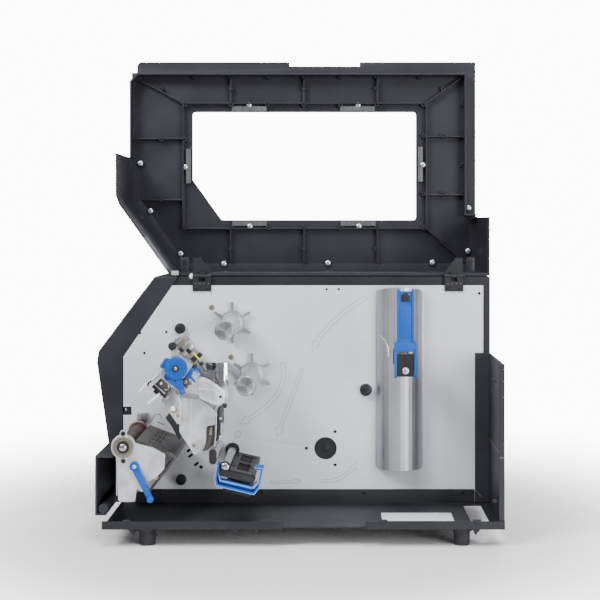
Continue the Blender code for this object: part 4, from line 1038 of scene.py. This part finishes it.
def dress_sensor():
    outline = [(-86.0, 92.0), (-72.0, 88.6), (-46.0, 82.6), (-44.0, 77.2), (-48.0, 75.2), (-85.4, 84.0)]
    finished("sensor_face", prism(outline, -132.4, -130.8, edge=0.5), "black_plastic")
    collar = turned(GUIDE_ROLLER_REAR, [(-7.5, 8.4), (-5.0, 9.2), (-2.2, 9.2)], sides=32)
    shape = drilled(collar, rod(GUIDE_ROLLER_REAR, 5.7, -12.0, 0.0))
    finished("roller_rear_collar", shape, "black_plastic")
    hole = rod(GUIDE_ROLLER_REAR, 5.7, -130.0, -120.0)
    bush = drilled(rod(GUIDE_ROLLER_REAR, 6.9, -128.0, -124.5, edge=0.4), hole)
    finished("roller_rear_bush", bush, "black_plastic")
    shape = domed(GUIDE_ROLLER_REAR, 5.3, -128.4, -130.4)
    finished("roller_rear_cap", shape, "bright_steel", "guide_roller_rear")
    shape = domed(GUIDE_ROLLER_FRONT, 3.4, -129.6, -130.2)
    finished("roller_front_cap", shape, "bright_steel", "guide_roller_front")
    fins = []
    for near in (-108.0, -96.0, -84.0, -48.0, -38.0, -28.0):
        fins.append(prism([(-65.6, 83.5), (-52.4, 80.4), (-51.6, 85.4), (-64.6, 88.6)], near, near + 1.4))
    finished("sensor_fins", joined(*fins), "dark_guide")
    bumps = [((x, y, z), (0, 0, 1), 1.0) for x, y, z in ((-70.5, -30.0, 89.9), (-70.5, -100.0, 89.9),
                                                          (-48.5, -24.0, 85.0), (-48.5, -90.0, 85.0))]
    bump = turned((0, 0), [(0.6, 2.2), (-1.0, 2.0), (-1.6, 1.2)], sides=16)
    repeated("sensor_bumps", bump, bumps, "black_plastic", "root")
    # The guide's outer edge and the trough's lip are in a lighter blue: a painted highlight on lit edges.
    path = [(-88.6, 97.8), (-91.8, 81.2), (-90.0, 72.0), (-43.7, 61.2), (-37.2, 69.9), (-35.6, 79.5),
            (-32.4, 93.5), (-43.7, 94.5)]
    shape = prism(band(path, 0.8), -136.5, -135.8, edge=0.15)
    finished("guide_edge_outer", shape, "blue_painted_highlight", "media_guide")
    inner = [(-86.4, 82.0), (-85.6, 77.6), (-46.0, 68.4), (-40.6, 74.6)]
    shape = prism(band(inner, 1.0), -134.6, -116.0, edge=0.2)
    finished("guide_trough_lip", shape, "blue_painted_highlight", "media_guide")
    shape = prism(band([(-87.0, 74.6), (-46.0, 65.2)], 2.4), -130.0, -112.5, edge=0.4)
    finished("guide_trough_floor", shape, "blue_plastic", "media_guide")
    # A black bar where the blue guide casts its shadow: painted shadow.
    shape = prism(capsule((-80.0, 64.4), (-52.0, 57.6), 2.9), -118.0, -2.2, edge=0.5)
    finished("guide_rail", shape, "black_steel")


def dress_hanger():
    retainer = "media_retainer"
    for side, name in ((-1, "left"), (1, "right")):
        middle = 138.7 + side * 8.7
        rail = block((middle - 1.5, -138.4, 246.0), (middle + 1.5, -136.6, 309.5), 0.6)
        finished(f"retainer_rail_{name}", rail, "blue_plastic", retainer)
    shape = block((131.5, -137.6, 250.0), (146.0, -136.6, 290.0), 0.5)
    finished("retainer_panel", shape, "blue_plastic", retainer)
    crown = [along((138.7, 300.0), angle, 5.1) for angle in range(0, 181, 20)]
    arch = prism([(133.6, 294.6), (143.8, 294.6)] + crown, -137.7, -136.4, edge=0.2)
    finished("retainer_notch", arch, "belt_rubber", retainer)
    shoulder = prism([(128.0, 234.0), (149.4, 234.0), (151.8, 240.0), (148.8, 246.0), (128.6, 246.0),
                      (125.6, 240.0)], -138.0, -130.6, edge=0.8)
    finished("retainer_shoulder", shoulder, "blue_plastic", retainer)
    finished("hanger_screw", screw_at(HANGER_SCREW, -136.0, 4.2, 1.8), "zinc")
    finished("hanger_screw_ring", ring(HANGER_SCREW, 5.4, 4.3, -136.5, -135.8), "black_plastic")
    finished("hanger_ridge", block((138.2, -136.7, 218.0), (138.9, -135.8, 230.0), 0.2), "black_plastic")
    path = [(112.0, -48.0, 246.0), (118.0, -56.0, 240.0), (121.5, -64.0, 231.0), (121.5, -70.0, 221.0)]
    finished("hanger_wire", wire(path, 1.1), "nickel")
    for side, name in ((-1, "left"), (1, "right")):
        x = 138.3 + side * 30.3
        flange = block((x - 0.7, -3.8, 73.0), (x + 0.7, -2.1, 292.0), 0.3)
        finished(f"media_plate_edge_{name}", flange, "nickel")


def dress_spindles():
    for name, centre in SPINDLES.items():
        body = f"ribbon_spindle_{name}"
        # the end faces get full painted highlight sectors, bright and dark by angle
        hub = turned_metal(body + "_face", (0.74, 0.77, 0.81), centre, 1.0, 0.24)
        face = turned(centre, [(-135.9, 11.0), (-136.4, 10.8), (-136.6, 10.2), (-136.4, 1.2), (-135.8, 1.0)],
                      sides=48)
        finished(body + "_end_face", face, hub, body, "turned_aluminium")
        slots = []
        for angle in (90.0, 210.0, 330.0):
            start = along(centre, angle, 12.05)
            slots.append(rod(start, 0.9, -128.0, -16.0, sides=10))
        finished(body + "_grip_wires", joined(*slots), "nickel", body)
        finished(body + "_collar", ring(centre, 13.4, 11.9, -24.0, -19.0, 0.5), "nickel", body)


def dress_seams():
    """Seam lines at the machine's rear corner, and the latch socket's screw."""
    finished("latch_socket_screw", domed((-219.0, 145.5), 1.6, 0.2, -0.8), "zinc")
    seam = block((250.9, -145.5, 107.4), (257.2, -145.0, 108.1), 0.05)
    finished("rear_wall_seam", seam, "ink_dark")
    finished("rear_wall_seam_inner", block((254.9, -144.0, 107.4), (255.4, -6.0, 108.1), 0.1), "ink_dark")
    mitre = prism(band([(236.4, 41.6), (246.0, 31.6)], 0.7), -5.4, -4.9)
    finished("base_mitre_line", mitre, "ink_dark")


def dress_electronics():
    """Sockets and parts on the boards behind the plate."""
    pins = []
    for column in range(14):
        for row in range(2):
            pins.append(((-44.0 + 7.0 * column, 44.2, 243.5 + 5.0 * row), (0, 1, 0), 1.0))
    repeated("board_pins", rod((0, 0), 0.9, -1.6, 0.2, sides=8, edge=0.2), pins, "bright_steel", "root")
    vents = [((72.0 + 12.0 * column, 115.0, 55.0), (0, 1, 0), 1.0) for column in range(12)]
    slot = rounded(block((-2.0, -0.4, -16.0), (2.0, 0.4, 16.0)), 0.3)
    repeated("supply_vents", slot, vents, "black_steel", "root")


# ---- Studio -----------------------------------------------------------------------------------
def studio():
    camera = bpy.data.cameras.new("camera")
    camera.lens, camera.sensor_width = 79.36, 36.0
    camera.shift_x, camera.shift_y = -0.05, -0.125
    stand = bpy.data.objects.new("camera", camera)
    stand.location = (0.04775, -1.731, 0.387)
    stand.rotation_euler = (radians(90.0), 0.0, 0.0)
    bpy.context.scene.collection.objects.link(stand)
    bpy.context.scene.camera = stand
    world = bpy.data.worlds.new("studio")
    bpy.context.scene.world = world
    world.use_nodes = True
    nodes = Nodes(world.node_tree)
    seen = nodes.wire("ShaderNodeLightPath", output="Is Camera Ray")
    heading = nodes.wire("ShaderNodeTexCoord", output="Generated")
    height = Wire(nodes, nodes.add("ShaderNodeSeparateXYZ", {}, {0: heading}).outputs["Z"])
    background = world.node_tree.nodes["Background"]
    nodes.feed(background.inputs["Color"], (0.97, 0.98, 1.0, 1.0))
    sky = height.rise(0.0, 0.9) * 0.35 + 0.3
    nodes.feed(background.inputs["Strength"], seen * 12.0 + sky)
    for name, place, size, power, target in (
            ("key", (-1.5, -1.6, 1.9), 1.0, 78.0, (0.0, 0.0, 0.25)),
            ("fill", (1.5, -2.0, 0.45), 1.2, 52.0, (0.0, 0.0, 0.35)),
            ("top", (0.3, -1.1, 2.5), 0.9, 34.0, (0.0, 0.0, 0.3)),
            ("back", (0.4, 1.9, 1.6), 1.8, 40.0, (0.0, 0.0, 0.3))):
        lamp = bpy.data.lights.new(name, "AREA")
        lamp.energy, lamp.size = power, size
        holder = bpy.data.objects.new(name, lamp)
        holder.location = place
        holder.rotation_euler = (Vector(target) - Vector(place)).to_track_quat("-Z", "Y").to_euler()
        bpy.context.scene.collection.objects.link(holder)
    ground = Finish("floor", roughness=0.6)
    ground.paint("Base Color", ground.mix(ground.noise(3.0), (0.93, 0.93, 0.94), (0.96, 0.96, 0.97)))
    distance = ground.wire("ShaderNodeVectorMath", {"operation": "LENGTH"}, {0: ground.place}, "Value")
    ground.paint("Alpha", 1.0 - distance.rise(0.3, 1.0))
    disc = bmesh.new()
    bmesh.ops.create_circle(disc, cap_ends=True, segments=96, radius=1.05)
    mesh = bpy.data.meshes.new("floor")
    disc.to_mesh(mesh)
    disc.free()
    mesh.materials.append(ground.material)
    stage = bpy.data.objects.new("floor", mesh)
    bpy.context.scene.collection.objects.link(stage)


studio()
dress_nodes()
dress_cover()
dress_hinges()
dress_plate()
dress_print()
dress_base()
dress_outside()
dress_knob()
dress_head()
dress_ribbon_frame()
dress_platen()
dress_sensor()
dress_hanger()
dress_spindles()
dress_seams()
dress_electronics()
